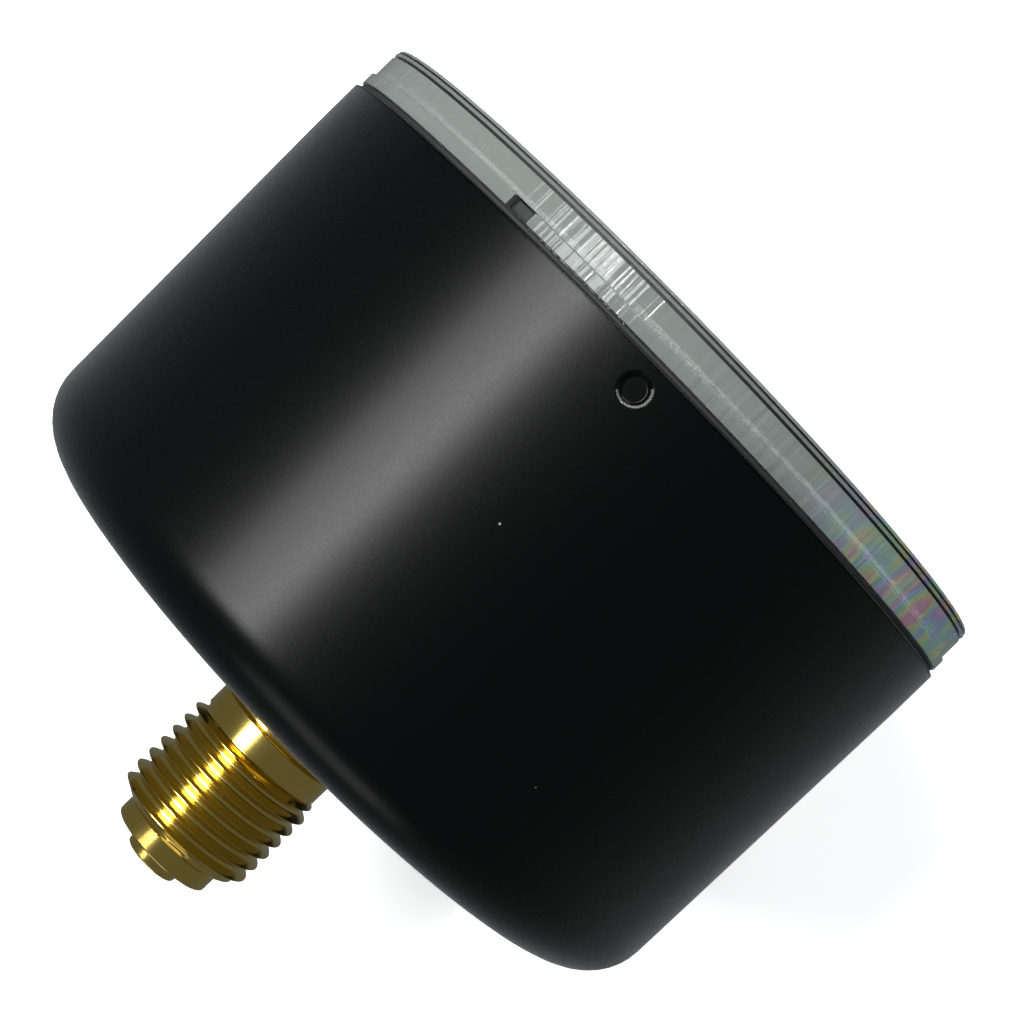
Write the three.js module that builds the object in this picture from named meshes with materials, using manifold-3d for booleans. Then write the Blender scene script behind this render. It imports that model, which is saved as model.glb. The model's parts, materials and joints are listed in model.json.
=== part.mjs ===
// Dial pressure gauge with a centre back connection, nominal size 63 mm.
// Millimetres. The dial faces -Y, 12 o'clock is +Z and the threaded stem points along +Y.
// The origin is the centre of the stem's sealing step. The pointer rests at zero pressure.
import * as THREE from "three";
import { mergeVertices } from "three/addons/utils/BufferGeometryUtils.js";
import Module from "manifold-3d";

const wasm = await Module();
wasm.setup();

const rad = THREE.MathUtils.degToRad;
const RUNNING_GAP = 0.08;

// Case: a drawn steel cup, open to the front.
const CASE_RADIUS = 33;
const CASE_WALL = 1;
const CASE_DEPTH = 36.8;
const CASE_CORNER = 5;
const CASE_TAPER = 0.45;
const RIM_Y = -54.7;
const BACK_Y = RIM_Y + CASE_DEPTH;
const FLOOR_Y = BACK_Y - CASE_WALL;
const CASE_HOLE_RADIUS = 8.5;
const CASE_SCREW_X = 12;
const CASE_SCREW_SHANK = 1.3;
const CASE_SCREW_LENGTH = 4;
const DIMPLE_SETBACK = 2.2;
const DIMPLE_RADIUS = 1.3;
const DIMPLE_DEPTH = 0.4;

// Window: clear plastic with a snap-in skirt, and the seal under its flange.
const WINDOW_RADIUS = 32.75;
const WINDOW_PROUD = 4.28;
const WINDOW_FRONT_Y = RIM_Y - WINDOW_PROUD;
const WINDOW_THICKNESS = 2.2;
const SKIRT_RADIUS = 31.8;
const SKIRT_WALL = 1.3;
const SKIRT_DEPTH = 3.8;
const SEAL_HEIGHT = 0.35;
const PRY_NOTCH_ANGLE = 26;
const PRY_NOTCH_WIDTH = 1.3;
const PRY_NOTCH_HEIGHT = 1.1;

// Stem: G 1/4 B thread, all lengths counted from the sealing step at Y = 0.
const PIN_RADIUS = 2.5;
const PIN_LENGTH = 1.3;
const STEP_RADIUS = 4.75;
const STEP_LENGTH = 1.7;
const THREAD_MAJOR = 6.55;
const THREAD_DEPTH = 0.82;
const THREAD_ROOT = THREAD_MAJOR - THREAD_DEPTH;
const THREAD_PITCH = 1.337;
const THREAD_CHAMFER = 1.1;
const THREAD_START_Y = -STEP_LENGTH;
const THREAD_END_Y = -11.5;
const COLLAR_RADIUS = 5.9;
const COLLAR_END_Y = -13.7;
const NECK_RADIUS = 5.2;
const WRENCH_Y = -14.5;
const WRENCH_FLATS = 14;
const WRENCH_CORNER_RADIUS = 8.2;
const BORE_RADIUS = 1.4;
const DUCT_RADIUS = 0.9;
const RESTRICTOR_TOP_Y = -1.5;
const RESTRICTOR_LENGTH = 3;
const RESTRICTOR_BORE = 0.25;

// Socket: the inner end of the stem, which carries the tube and the movement.
const GASKET_HEIGHT = 0.6;
const FLANGE_RADIUS = 14.6;
const FLANGE_BACK_Y = FLOOR_Y - GASKET_HEIGHT;
const FLANGE_FRONT_Y = FLANGE_BACK_Y - 3;
const SEAT_FRONT_Y = -34;
const SEAT_BOTTOM_Z = -15.5;
const FOOT_FRONT_Y = -41.6;
const FOOT_TOP_Z = -17.9;
const FOOT_BOTTOM_Z = -26;

// Bourdon tube: a flattened tube bent round the axis, from 6 o'clock by way of 12 to past 3.
const TUBE_RADIUS = 21.5;
const TUBE_WIDTH = 10;
const TUBE_THICKNESS = 3.2;
const TUBE_WALL = 0.35;
const TUBE_MID_Y = -36;
const TUBE_ROOT_ANGLE = -102;
const TUBE_TIP_ANGLE = -372;

// Movement: two plates on posts, a toothed sector and a pinion.
const PLATE_THICKNESS = 1.2;
const BACK_PLATE_Y = SEAT_FRONT_Y - 0.3;
const FRONT_PLATE_Y = BACK_PLATE_Y - PLATE_THICKNESS - 8;
const POST_RADIUS = 1.6;
const MOVEMENT_SCREW_SPOTS = { upper: [-4.3, 5.6], lower: [-3.6, -8.6] };
const POST_SPOTS = { left: [-9, -10.5], right: [8.5, 4.5] };
const GEAR_MODULE = 0.22;
const PRESSURE_ANGLE = rad(20);
const PINION_TEETH = 12;
const SECTOR_TURN_TEETH = 120;
const SECTOR_TEETH = 13;
const SECTOR_SWING = 27;
const BACKLASH = 0.05;
const PINION_PITCH = (GEAR_MODULE * PINION_TEETH) / 2;
const SECTOR_PITCH = (GEAR_MODULE * SECTOR_TURN_TEETH) / 2;
const SECTOR_DIRECTION = -76;
const SECTOR_Y = -38.6;
const SECTOR_THICKNESS = 0.8;
const SECTOR_CENTRE = polar(PINION_PITCH + SECTOR_PITCH, SECTOR_DIRECTION);
const TAIL_LENGTH = 6;
const TAIL_ANGLE = -51.5;
const TAIL_PIVOT = polar(TAIL_LENGTH, TAIL_ANGLE, SECTOR_CENTRE);
const LINK_LENGTH = 12;
const LINK_ANGLE = 52;
const TIP_PIVOT = polar(LINK_LENGTH, LINK_ANGLE, TAIL_PIVOT);
const PINION_Y = -37.2;
const PINION_LENGTH = 3.4;
const LINK_BACK_Y = -39.8;
const LINK_THICKNESS = 0.7;
const LINK_SCREW_RADIUS = 0.6;
const OPEN_PIVOT_RADIUS = 0.98;
const LUG_BACK_Y = -36.8;
const LUG_FRONT_Y = LINK_BACK_Y + 0.4;
const HAIRSPRING_INNER = 1.7;
const HAIRSPRING_OUTER = 6.3;
const HAIRSPRING_TURNS = 4;
const HAIRSPRING_STUD_ANGLE = 150;
const HAIRSPRING_Y = -41.4;
const HAIRSPRING_WIDTH = 0.8;
const HAIRSPRING_THICKNESS = 0.12;
const COLLET_TOP_Y = HAIRSPRING_Y + 0.4;

// Dial, its two pillars, and the pointer.
const DIAL_RADIUS = 31.2;
const DIAL_THICKNESS = 0.5;
const DIAL_BACK_Y = -49.9;
const DIAL_FRONT_Y = DIAL_BACK_Y - DIAL_THICKNESS;
const DIAL_SCREW_X = 11.5;
const POINTER_BACK_Y = -52.45;
const POINTER_THICKNESS = 0.35;
const POINTER_LENGTH = 24.3;
const POINTER_REST = -135;
const STOP_PIN_RADIUS = 0.4;
const STOP_PIN_RING = 19;

// A point in the plane of the dial, [x, z], at an angle counted from 3 o'clock.
function polar(radius, degrees, [x, z] = [0, 0]) {
  const angle = (degrees * Math.PI) / 180;
  return [x + radius * Math.cos(angle), z + radius * Math.sin(angle)];
}

// ---- Solids ---------------------------------------------------------------

function toSolid(geometry) {
  const bare = geometry.clone();
  bare.deleteAttribute("normal");
  bare.deleteAttribute("uv");
  const merged = mergeVertices(bare, 1e-5);
  const index = merged.index.array;
  const kept = [];
  for (let i = 0; i < index.length; i += 3) {
    const [a, b, c] = [index[i], index[i + 1], index[i + 2]];
    if (a !== b && b !== c && c !== a) {
      kept.push(a, b, c);
    }
  }
  return new wasm.Manifold(
    new wasm.Mesh({
      numProp: 3,
      vertProperties: new Float32Array(merged.attributes.position.array),
      triVerts: new Uint32Array(kept),
    }),
  );
}

function toGeometry(solid) {
  const mesh = solid.getMesh();
  const geometry = new THREE.BufferGeometry();
  geometry.setAttribute("position", new THREE.BufferAttribute(mesh.vertProperties, 3));
  geometry.setIndex(new THREE.BufferAttribute(mesh.triVerts, 1));
  return geometry;
}

function join(...geometries) {
  return toGeometry(geometries.map(toSolid).reduce((whole, next) => whole.add(next)));
}

function cut(geometry, ...tools) {
  return toGeometry(tools.map(toSolid).reduce((rest, tool) => rest.subtract(tool), toSolid(geometry)));
}

function common(a, b) {
  return toGeometry(toSolid(a).intersect(toSolid(b)));
}

// A body of revolution about Y, from an outline of [radius, y] points.
function turned(outline, segments = 32) {
  const points = outline.map(([radius, y]) => new THREE.Vector2(radius, y));
  const closed = points[0].x > 0 || points.at(-1).x > 0;
  if (closed) {
    points.push(points[0].clone());
  }
  if (THREE.ShapeUtils.area(points) < 0) {
    points.reverse();
  }
  return new THREE.LatheGeometry(points, segments);
}

function rod(radius, y0, y1, [x, z] = [0, 0], segments = 16) {
  const height = Math.abs(y1 - y0);
  return new THREE.CylinderGeometry(radius, radius, height, segments).translate(x, (y0 + y1) / 2, z);
}

function ring(inner, outer, y0, y1, segments = 48) {
  return turned([[inner, y0], [outer, y0], [outer, y1], [inner, y1]], segments);
}

function box([x0, x1], [y0, y1], [z0, z1]) {
  const size = [x1 - x0, Math.abs(y1 - y0), z1 - z0];
  return new THREE.BoxGeometry(...size).translate((x0 + x1) / 2, (y0 + y1) / 2, (z0 + z1) / 2);
}

// A flat plate from an outline in the plane of the dial; it grows from backY towards the front.
function plate(shape, backY, thickness, curveSegments = 16) {
  const options = { depth: thickness, bevelEnabled: false, curveSegments };
  return new THREE.ExtrudeGeometry(shape, options).rotateX(Math.PI / 2).translate(0, backY, 0);
}

function arcPoints(x, y, radius, from, to, steps) {
  return Array.from({ length: steps + 1 }, (_, i) => polar(radius, from + ((to - from) * i) / steps, [x, y]));
}

// The outline of a band stretched round a set of discs, each [x, z, radius].
function aroundDiscs(discs) {
  const cloud = discs.flatMap(([x, z, radius]) => arcPoints(x, z, radius, 0, 342, 19));
  cloud.sort((a, b) => a[0] - b[0] || a[1] - b[1]);
  const turn = (o, a, b) => (a[0] - o[0]) * (b[1] - o[1]) - (a[1] - o[1]) * (b[0] - o[0]);
  const chain = (points) => {
    const hull = [];
    for (const point of points) {
      while (hull.length > 1 && turn(hull.at(-2), hull.at(-1), point) <= 1e-6) {
        hull.pop();
      }
      hull.push(point);
    }
    return hull.slice(0, -1);
  };
  const outline = [...chain(cloud), ...chain(cloud.reverse())];
  return new THREE.Shape(outline.map(([x, z]) => new THREE.Vector2(x, z)));
}

function arcBand(inner, outer, from, to, steps = 12) {
  const outline = [...arcPoints(0, 0, outer, from, to, steps), ...arcPoints(0, 0, inner, to, from, steps)];
  return new THREE.Shape(outline.map(([x, z]) => new THREE.Vector2(x, z)));
}

// A slotted cheese-head screw on the Y axis: the head starts at y and points along `facing`.
function screw({ at, y, facing = -1, head, headHeight, shank, length, slot = 0.35 }) {
  const top = y + facing * headHeight;
  const outline = [[0, y - facing * length], [shank, y - facing * length], [shank, y], [head, y]];
  outline.push([head, top - facing * 0.2], [head - 0.2, top], [0, top]);
  const [x, z] = at;
  const body = turned(outline, 16).translate(x, 0, z);
  const slotDepth = facing * headHeight * 0.45;
  const past = head + 1;
  const groove = box([x - past, x + past], [top + facing, top - slotDepth], [z - slot / 2, z + slot / 2]);
  return cut(body, groove);
}

// ---- Case and window ------------------------------------------------------

function caseCup() {
  const inner = CASE_RADIUS - CASE_WALL;
  const innerCorner = CASE_CORNER - CASE_WALL;
  const cornerY = BACK_Y - CASE_CORNER;
  const shell = turned(
    [
      [inner, RIM_Y],
      [CASE_RADIUS - 0.25, RIM_Y],
      [CASE_RADIUS, RIM_Y + 0.25],
      ...arcPoints(CASE_RADIUS - CASE_TAPER - CASE_CORNER, cornerY, CASE_CORNER, 0, 90, 6),
      [CASE_HOLE_RADIUS, BACK_Y],
      [CASE_HOLE_RADIUS, FLOOR_Y],
      ...arcPoints(inner - CASE_TAPER - innerCorner, cornerY, innerCorner, 90, 0, 4),
    ],
    72,
  );
  const pressRadius = (DIMPLE_RADIUS ** 2 + DIMPLE_DEPTH ** 2) / (2 * DIMPLE_DEPTH);
  const dimpleY = RIM_Y + DIMPLE_SETBACK;
  const aroundCase = (geometry, quarter) =>
    geometry.translate(CASE_RADIUS + pressRadius - DIMPLE_DEPTH, dimpleY, 0).rotateY((quarter * Math.PI) / 2);
  const quarters = [0, 1, 2, 3];
  const bumps = quarters.map((quarter) => {
    const ball = new THREE.SphereGeometry(pressRadius + CASE_WALL, 20, 14);
    const slab = box([inner - 1, inner + 0.5], [dimpleY - 2, dimpleY + 2], [-2, 2]);
    return common(aroundCase(ball, quarter), slab.rotateY((quarter * Math.PI) / 2));
  });
  const presses = quarters.map((quarter) => aroundCase(new THREE.SphereGeometry(pressRadius, 24, 16), quarter));
  const holes = [-1, 1].map((side) =>
    rod(CASE_SCREW_SHANK + 0.3, FLOOR_Y - 1, BACK_Y + 1, [side * CASE_SCREW_X, 0]));
  return cut(join(shell, ...bumps), ...presses, ...holes);
}

function windowPane() {
  const flangeY = RIM_Y - SEAL_HEIGHT - 0.1;
  const backY = WINDOW_FRONT_Y + WINDOW_THICKNESS;
  const skirtEndY = RIM_Y + SKIRT_DEPTH;
  const catchY = RIM_Y + DIMPLE_SETBACK;
  const inner = SKIRT_RADIUS - SKIRT_WALL;
  const band = WINDOW_RADIUS - 0.25;
  const pane = turned(
    [
      [0, WINDOW_FRONT_Y],
      ...arcPoints(band - 0.9, WINDOW_FRONT_Y + 0.8, 0.8, -90, -15, 4),
      [band - 0.1, WINDOW_FRONT_Y + 0.75],
      [band - 0.25, WINDOW_FRONT_Y + 0.85],
      [band - 0.25, WINDOW_FRONT_Y + 0.97],
      [band, WINDOW_FRONT_Y + 1.1],
      [band, flangeY - 1.06],
      [WINDOW_RADIUS, flangeY - 1],
      [WINDOW_RADIUS, flangeY],
      [SKIRT_RADIUS, flangeY],
      [SKIRT_RADIUS, catchY - 1.2],
      [SKIRT_RADIUS - 0.6, catchY - 0.9],
      [SKIRT_RADIUS - 0.6, catchY + 0.9],
      [SKIRT_RADIUS, catchY + 1.2],
      [SKIRT_RADIUS - 0.2, skirtEndY],
      [inner, skirtEndY],
      [inner - 0.5, backY + 0.5],
      [inner - 1, backY],
      [0, backY],
    ],
    72,
  );
  const notch = box(
    [-PRY_NOTCH_WIDTH / 2, PRY_NOTCH_WIDTH / 2],
    [flangeY - PRY_NOTCH_HEIGHT, flangeY + 0.3],
    [WINDOW_RADIUS - 0.9, WINDOW_RADIUS + 1],
  );
  return cut(pane, notch.rotateY(rad(PRY_NOTCH_ANGLE)));
}

// ---- Stem and socket ------------------------------------------------------

// A right-hand thread ridge: one V-shaped section swept along the helix, with flat ends.
function threadRidge() {
  const stepsPerTurn = 20;
  const section = [[-0.45, -0.25], [-0.1, 1], [0.1, 1], [0.45, -0.25]];
  const turns = (THREAD_START_Y - THREAD_END_Y) / THREAD_PITCH + 1;
  const steps = Math.ceil(turns * stepsPerTurn);
  const corners = section.length;
  const positions = [];
  for (let step = 0; step <= steps; step++) {
    const angle = (step / stepsPerTurn) * 2 * Math.PI;
    const middleY = THREAD_END_Y + (step / stepsPerTurn - 0.5) * THREAD_PITCH;
    for (const [along, height] of section) {
      const radius = THREAD_ROOT + THREAD_DEPTH * height;
      positions.push(radius * Math.sin(angle), middleY + along * THREAD_PITCH, radius * Math.cos(angle));
    }
  }
  const index = [0, 1, 2, 0, 2, 3];
  for (let step = 0; step < steps; step++) {
    for (let corner = 0; corner < corners; corner++) {
      const a = step * corners + corner;
      const b = step * corners + ((corner + 1) % corners);
      index.push(a, a + corners, b + corners, a, b + corners, b);
    }
  }
  const last = steps * corners;
  index.push(last, last + 2, last + 1, last, last + 3, last + 2);
  const geometry = new THREE.BufferGeometry();
  geometry.setAttribute("position", new THREE.Float32BufferAttribute(positions, 3));
  geometry.setIndex(index);
  return geometry;
}

function stemWithSocket() {
  const bar = turned([
    [0, FLANGE_FRONT_Y],
    [FLANGE_RADIUS, FLANGE_FRONT_Y],
    [FLANGE_RADIUS, FLANGE_BACK_Y],
    [WRENCH_CORNER_RADIUS, FLANGE_BACK_Y],
    [WRENCH_CORNER_RADIUS - 0.3, BACK_Y + 0.2],
    [NECK_RADIUS, BACK_Y + 0.2],
    [NECK_RADIUS, COLLAR_END_Y],
    [COLLAR_RADIUS - 0.2, COLLAR_END_Y],
    [COLLAR_RADIUS, COLLAR_END_Y + 0.2],
    [COLLAR_RADIUS, THREAD_END_Y],
    [THREAD_ROOT, THREAD_END_Y + 0.1],
    [THREAD_ROOT, THREAD_START_Y - 0.4],
    [STEP_RADIUS + 0.3, THREAD_START_Y],
    [STEP_RADIUS, THREAD_START_Y],
    [STEP_RADIUS, -0.2],
    [STEP_RADIUS - 0.2, 0],
    [PIN_RADIUS, 0],
    [PIN_RADIUS, PIN_LENGTH - 0.2],
    [PIN_RADIUS - 0.2, PIN_LENGTH],
    [0, PIN_LENGTH],
  ], 32);
  const crest = THREAD_MAJOR + 0.01;
  const threadEnvelope = turned([
    [0, THREAD_END_Y],
    [THREAD_ROOT + 0.2, THREAD_END_Y],
    [crest, THREAD_END_Y + 0.5],
    [crest, THREAD_START_Y - THREAD_CHAMFER],
    [STEP_RADIUS + 0.3, THREAD_START_Y - 0.05],
    [0, THREAD_START_Y - 0.05],
  ], 40);
  const thread = common(threadRidge(), threadEnvelope);
  const flats = WRENCH_FLATS / 2;
  const wrench = common(
    box([-flats, flats], [FLANGE_BACK_Y - 1, WRENCH_Y], [-flats, flats]),
    rod(WRENCH_CORNER_RADIUS, FLANGE_BACK_Y - 1, WRENCH_Y, [0, 0], 32),
  );
  const seat = box([-7, 7], [FLANGE_FRONT_Y + 1, SEAT_FRONT_Y], [SEAT_BOTTOM_Z, 9]);
  const web = box([-5, 3], [FLANGE_FRONT_Y + 0.5, SEAT_FRONT_Y], [FOOT_TOP_Z - 1, SEAT_BOTTOM_Z + 1]);
  const foot = box([-5, 3], [FLANGE_FRONT_Y + 0.5, FOOT_FRONT_Y], [FOOT_BOTTOM_Z, FOOT_TOP_Z]);
  const ductY = FLANGE_FRONT_Y - 5;
  const upright = rod(DUCT_RADIUS, -1, TUBE_RADIUS).rotateX(-Math.PI / 2).translate(0, ductY, 0);
  const drilled = [
    rod(BORE_RADIUS, PIN_LENGTH + 1, -8),
    rod(DUCT_RADIUS, -7, ductY - DUCT_RADIUS),
    upright,
    rod(DUCT_RADIUS, ductY + DUCT_RADIUS, TUBE_MID_Y, [0, -TUBE_RADIUS]),
    rod(DUCT_RADIUS, 1, 5).rotateZ(Math.PI / 2).translate(1, TUBE_MID_Y, -TUBE_RADIUS),
  ];
  const pocket = box([-6, -3.6], [TUBE_MID_Y + 5.4, TUBE_MID_Y - 5.4], [-23.6, -18.9]);
  const caseScrewHoles = [-1, 1].map((side) =>
    rod(CASE_SCREW_SHANK + 0.1, FLANGE_FRONT_Y - 1, FLANGE_BACK_Y + 1, [side * CASE_SCREW_X, 0]));
  const movementScrewHoles = Object.values(MOVEMENT_SCREW_SPOTS).map((spot) =>
    rod(1, SEAT_FRONT_Y - 1, SEAT_FRONT_Y + 4, spot));
  return cut(
    join(bar, thread, wrench, seat, web, foot),
    ...drilled,
    pocket,
    ...caseScrewHoles,
    ...movementScrewHoles,
  );
}

function restrictorScrew() {
  const radius = BORE_RADIUS - 0.1;
  const plug = ring(RESTRICTOR_BORE, radius, RESTRICTOR_TOP_Y, RESTRICTOR_TOP_Y - RESTRICTOR_LENGTH, 24);
  return cut(plug, box([-2, 2], [RESTRICTOR_TOP_Y + 1, RESTRICTOR_TOP_Y - 0.6], [-0.2, 0.2]));
}

// ---- Bourdon tube, its tip and the link -----------------------------------

class DialArc extends THREE.Curve {
  constructor(radius, y, from, to) {
    super();
    Object.assign(this, { radius, y, from, to });
  }
  getPoint(share, target = new THREE.Vector3()) {
    const [x, z] = polar(this.radius, this.from + (this.to - this.from) * share);
    return target.set(x, this.y, z);
  }
}

function flatOval(width, thickness, target) {
  const half = (width - thickness) / 2;
  target.absarc(half, 0, thickness / 2, -Math.PI / 2, Math.PI / 2, false);
  target.absarc(-half, 0, thickness / 2, Math.PI / 2, (3 * Math.PI) / 2, false);
  target.closePath();
  return target;
}

function bourdonTube() {
  const section = flatOval(TUBE_WIDTH, TUBE_THICKNESS, new THREE.Shape());
  const passage = flatOval(TUBE_WIDTH - 2 * TUBE_WALL, TUBE_THICKNESS - 2 * TUBE_WALL, new THREE.Path());
  section.holes.push(passage);
  const path = new DialArc(TUBE_RADIUS, TUBE_MID_Y, TUBE_ROOT_ANGLE, TUBE_TIP_ANGLE);
  return new THREE.ExtrudeGeometry(section, { extrudePath: path, steps: 30, curveSegments: 4 });
}

function tubeTip() {
  const halfBlock = TUBE_THICKNESS / 2 + 0.2;
  const blockWidth = TUBE_WIDTH - 0.2;
  const blockStart = TUBE_TIP_ANGLE - 0.8;
  const block = arcBand(TUBE_RADIUS - halfBlock, TUBE_RADIUS + halfBlock, blockStart, blockStart - 10, 5);
  const [rootX, rootZ] = polar(TUBE_RADIUS - 0.9, blockStart - 8);
  const lug = aroundDiscs([[...TIP_PIVOT, 1.8], [rootX, rootZ, 1.6]]);
  const body = join(
    plate(block, TUBE_MID_Y + blockWidth / 2, blockWidth),
    plate(lug, LUG_BACK_Y, LUG_BACK_Y - LUG_FRONT_Y),
  );
  return cut(body, rod(LINK_SCREW_RADIUS + RUNNING_GAP, LUG_BACK_Y + 1, LUG_FRONT_Y - 1, TIP_PIVOT));
}

function linkBar() {
  const bar = plate(aroundDiscs([[...TIP_PIVOT, 1.4], [...TAIL_PIVOT, 1.7]]), LINK_BACK_Y, LINK_THICKNESS);
  const above = LINK_BACK_Y + 1;
  const below = LINK_BACK_Y - LINK_THICKNESS - 1;
  return cut(
    bar,
    rod(LINK_SCREW_RADIUS + RUNNING_GAP, above, below, TIP_PIVOT),
    rod(OPEN_PIVOT_RADIUS, above, below, TAIL_PIVOT),
  );
}

function linkScrew(at, backY) {
  const headY = LINK_BACK_Y - LINK_THICKNESS - 0.3;
  return screw({ at, y: headY, head: 1.25, headHeight: 0.8, shank: LINK_SCREW_RADIUS, length: backY - headY });
}

// ---- Movement -------------------------------------------------------------

const involute = (angle) => Math.tan(angle) - angle;

function toothHalfAngle(radius, pitchRadius, teeth) {
  const baseRadius = pitchRadius * Math.cos(PRESSURE_ANGLE);
  const flankAngle = radius > baseRadius ? Math.acos(baseRadius / radius) : 0;
  const atPitch = Math.PI / (2 * teeth) - BACKLASH / (2 * pitchRadius);
  return atPitch + involute(PRESSURE_ANGLE) - involute(flankAngle);
}

// The points of `count` neighbouring teeth, the first centred at `start` degrees.
function teethOutline(pitchRadius, teeth, start, count) {
  const heights = [-1.1, -0.45, 0, 0.4, 0.75];
  const radii = heights.map((height) => pitchRadius + height * GEAR_MODULE);
  const pitchAngle = 360 / teeth;
  const points = [];
  for (let tooth = 0; tooth < count; tooth++) {
    const centre = start + tooth * pitchAngle;
    const flank = (radius, side) =>
      polar(radius, centre + side * THREE.MathUtils.radToDeg(toothHalfAngle(radius, pitchRadius, teeth)));
    points.push(...radii.map((radius) => flank(radius, -1)));
    points.push(...radii.toReversed().map((radius) => flank(radius, 1)));
  }
  return points;
}

function shapeOf(points) {
  return new THREE.Shape(points.map(([x, z]) => new THREE.Vector2(x, z)));
}

function pinionArbor() {
  const teeth = teethOutline(PINION_PITCH, PINION_TEETH, SECTOR_DIRECTION, PINION_TEETH);
  const pinion = plate(shapeOf(teeth), PINION_Y, PINION_LENGTH);
  const arbor = turned([
    [0, BACK_PLATE_Y],
    [0.4, BACK_PLATE_Y],
    [0.4, BACK_PLATE_Y - PLATE_THICKNESS - 0.15],
    [0.75, BACK_PLATE_Y - PLATE_THICKNESS - 0.15],
    [0.75, FRONT_PLATE_Y + 0.15],
    [0.6, FRONT_PLATE_Y + 0.15],
    [0.6, DIAL_FRONT_Y - 0.6],
    [0.5, POINTER_BACK_Y - 0.85],
    [0, POINTER_BACK_Y - 0.85],
  ], 20);
  return join(arbor, pinion);
}

function sectorGear() {
  const pitchAngle = 360 / SECTOR_TURN_TEETH;
  const towardsPinion = SECTOR_DIRECTION + 180;
  const middle = towardsPinion - SECTOR_SWING / 2;
  const first = middle - ((SECTOR_TEETH - 1) / 2) * pitchAngle;
  const last = middle + ((SECTOR_TEETH - 1) / 2) * pitchAngle;
  const teeth = teethOutline(SECTOR_PITCH, SECTOR_TURN_TEETH, first, SECTOR_TEETH);
  const rimInner = arcPoints(0, 0, SECTOR_PITCH - 2.2, last + 1.2, first - 1.2, 10);
  const at = (radius, angle, disc) => [...polar(radius, angle), disc];
  const hub = [0, 0, 2];
  const armEnd = SECTOR_PITCH - 1.6;
  const thickness = SECTOR_THICKNESS;
  const blank = join(
    plate(shapeOf([...teeth, ...rimInner]), SECTOR_Y, thickness),
    plate(aroundDiscs([hub, at(armEnd, first + 2, 0.9)]), SECTOR_Y, thickness),
    plate(aroundDiscs([hub, at(armEnd, last - 2, 0.9)]), SECTOR_Y, thickness),
    plate(aroundDiscs([hub, at(TAIL_LENGTH, TAIL_ANGLE, 1.3)]), SECTOR_Y, thickness),
  );
  const through = [SECTOR_Y + 1, SECTOR_Y - thickness - 1];
  const drilled = cut(
    blank,
    rod(0.9 + RUNNING_GAP, ...through),
    rod(LINK_SCREW_RADIUS + RUNNING_GAP, ...through, polar(TAIL_LENGTH, TAIL_ANGLE)),
  );
  return drilled.translate(SECTOR_CENTRE[0], 0, SECTOR_CENTRE[1]);
}

function sectorArbor() {
  const backEnd = BACK_PLATE_Y - PLATE_THICKNESS - 0.15;
  const frontEnd = FRONT_PLATE_Y + 0.15;
  const shoulderY = SECTOR_Y + 0.1;
  const [x, z] = SECTOR_CENTRE;
  return turned([
    [0, BACK_PLATE_Y],
    [0.5, BACK_PLATE_Y],
    [0.5, backEnd],
    [0.9, backEnd],
    [1.7, backEnd - 0.5],
    [1.7, shoulderY],
    [0.9, shoulderY],
    [0.9, frontEnd],
    [0.5, frontEnd],
    [0.5, FRONT_PLATE_Y - PLATE_THICKNESS - 0.3],
    [0, FRONT_PLATE_Y - PLATE_THICKNESS - 0.3],
  ], 16).translate(x, 0, z);
}

function movementPlate(backY, discs, holes) {
  const blank = plate(aroundDiscs(discs), backY, PLATE_THICKNESS);
  const through = [backY + 1, backY - PLATE_THICKNESS - 1];
  return cut(blank, ...holes.map(([x, z, radius]) => rod(radius, ...through, [x, z])));
}

function backPlate() {
  const screws = Object.values(MOVEMENT_SCREW_SPOTS);
  const posts = Object.values(POST_SPOTS);
  return movementPlate(
    BACK_PLATE_Y,
    [...posts, ...screws, SECTOR_CENTRE].map((spot) => [...spot, 2.3]),
    [
      [0, 0, 0.4 + RUNNING_GAP],
      [...SECTOR_CENTRE, 0.5 + RUNNING_GAP],
      ...posts.map((spot) => [...spot, 0.98]),
      ...screws.map((spot) => [...spot, 1]),
    ],
  );
}

function frontPlate() {
  const posts = Object.values(POST_SPOTS);
  const ears = [-1, 1].map((side) => [side * DIAL_SCREW_X, 0]);
  return movementPlate(
    FRONT_PLATE_Y,
    [...posts, ...ears, SECTOR_CENTRE].map((spot) => [...spot, 2.3]),
    [
      [0, 0, 0.6 + RUNNING_GAP],
      [...SECTOR_CENTRE, 0.5 + RUNNING_GAP],
      ...posts.map((spot) => [...spot, 0.8]),
      ...ears.map((spot) => [...spot, 1.05]),
    ],
  );
}

function platePost([x, z]) {
  const backEnd = BACK_PLATE_Y - PLATE_THICKNESS;
  return turned([
    [0, BACK_PLATE_Y],
    [0.9, BACK_PLATE_Y],
    [0.9, backEnd],
    [POST_RADIUS, backEnd],
    [POST_RADIUS, FRONT_PLATE_Y],
    [0.8, FRONT_PLATE_Y],
    [0.8, FRONT_PLATE_Y + 3],
    [0, FRONT_PLATE_Y + 3.4],
  ], 16).translate(x, 0, z);
}

function dialPillar([x, z]) {
  return turned([
    [0, FRONT_PLATE_Y + 0.6],
    [0.95, FRONT_PLATE_Y + 0.6],
    [0.95, FRONT_PLATE_Y - PLATE_THICKNESS],
    [2.2, FRONT_PLATE_Y - PLATE_THICKNESS],
    [2.2, DIAL_BACK_Y],
    [1, DIAL_BACK_Y],
    [1, DIAL_BACK_Y + 3.6],
    [0, DIAL_BACK_Y + 4],
  ], 16).translate(x, 0, z);
}

function hairspringCollet() {
  return ring(0.75 + RUNNING_GAP, 1.5, COLLET_TOP_Y, COLLET_TOP_Y - 1.6, 16);
}

function hairspringStud() {
  const [x, z] = polar(HAIRSPRING_OUTER + 0.95, HAIRSPRING_STUD_ANGLE);
  return rod(0.6, COLLET_TOP_Y, FRONT_PLATE_Y, [x, z], 20);
}

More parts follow.
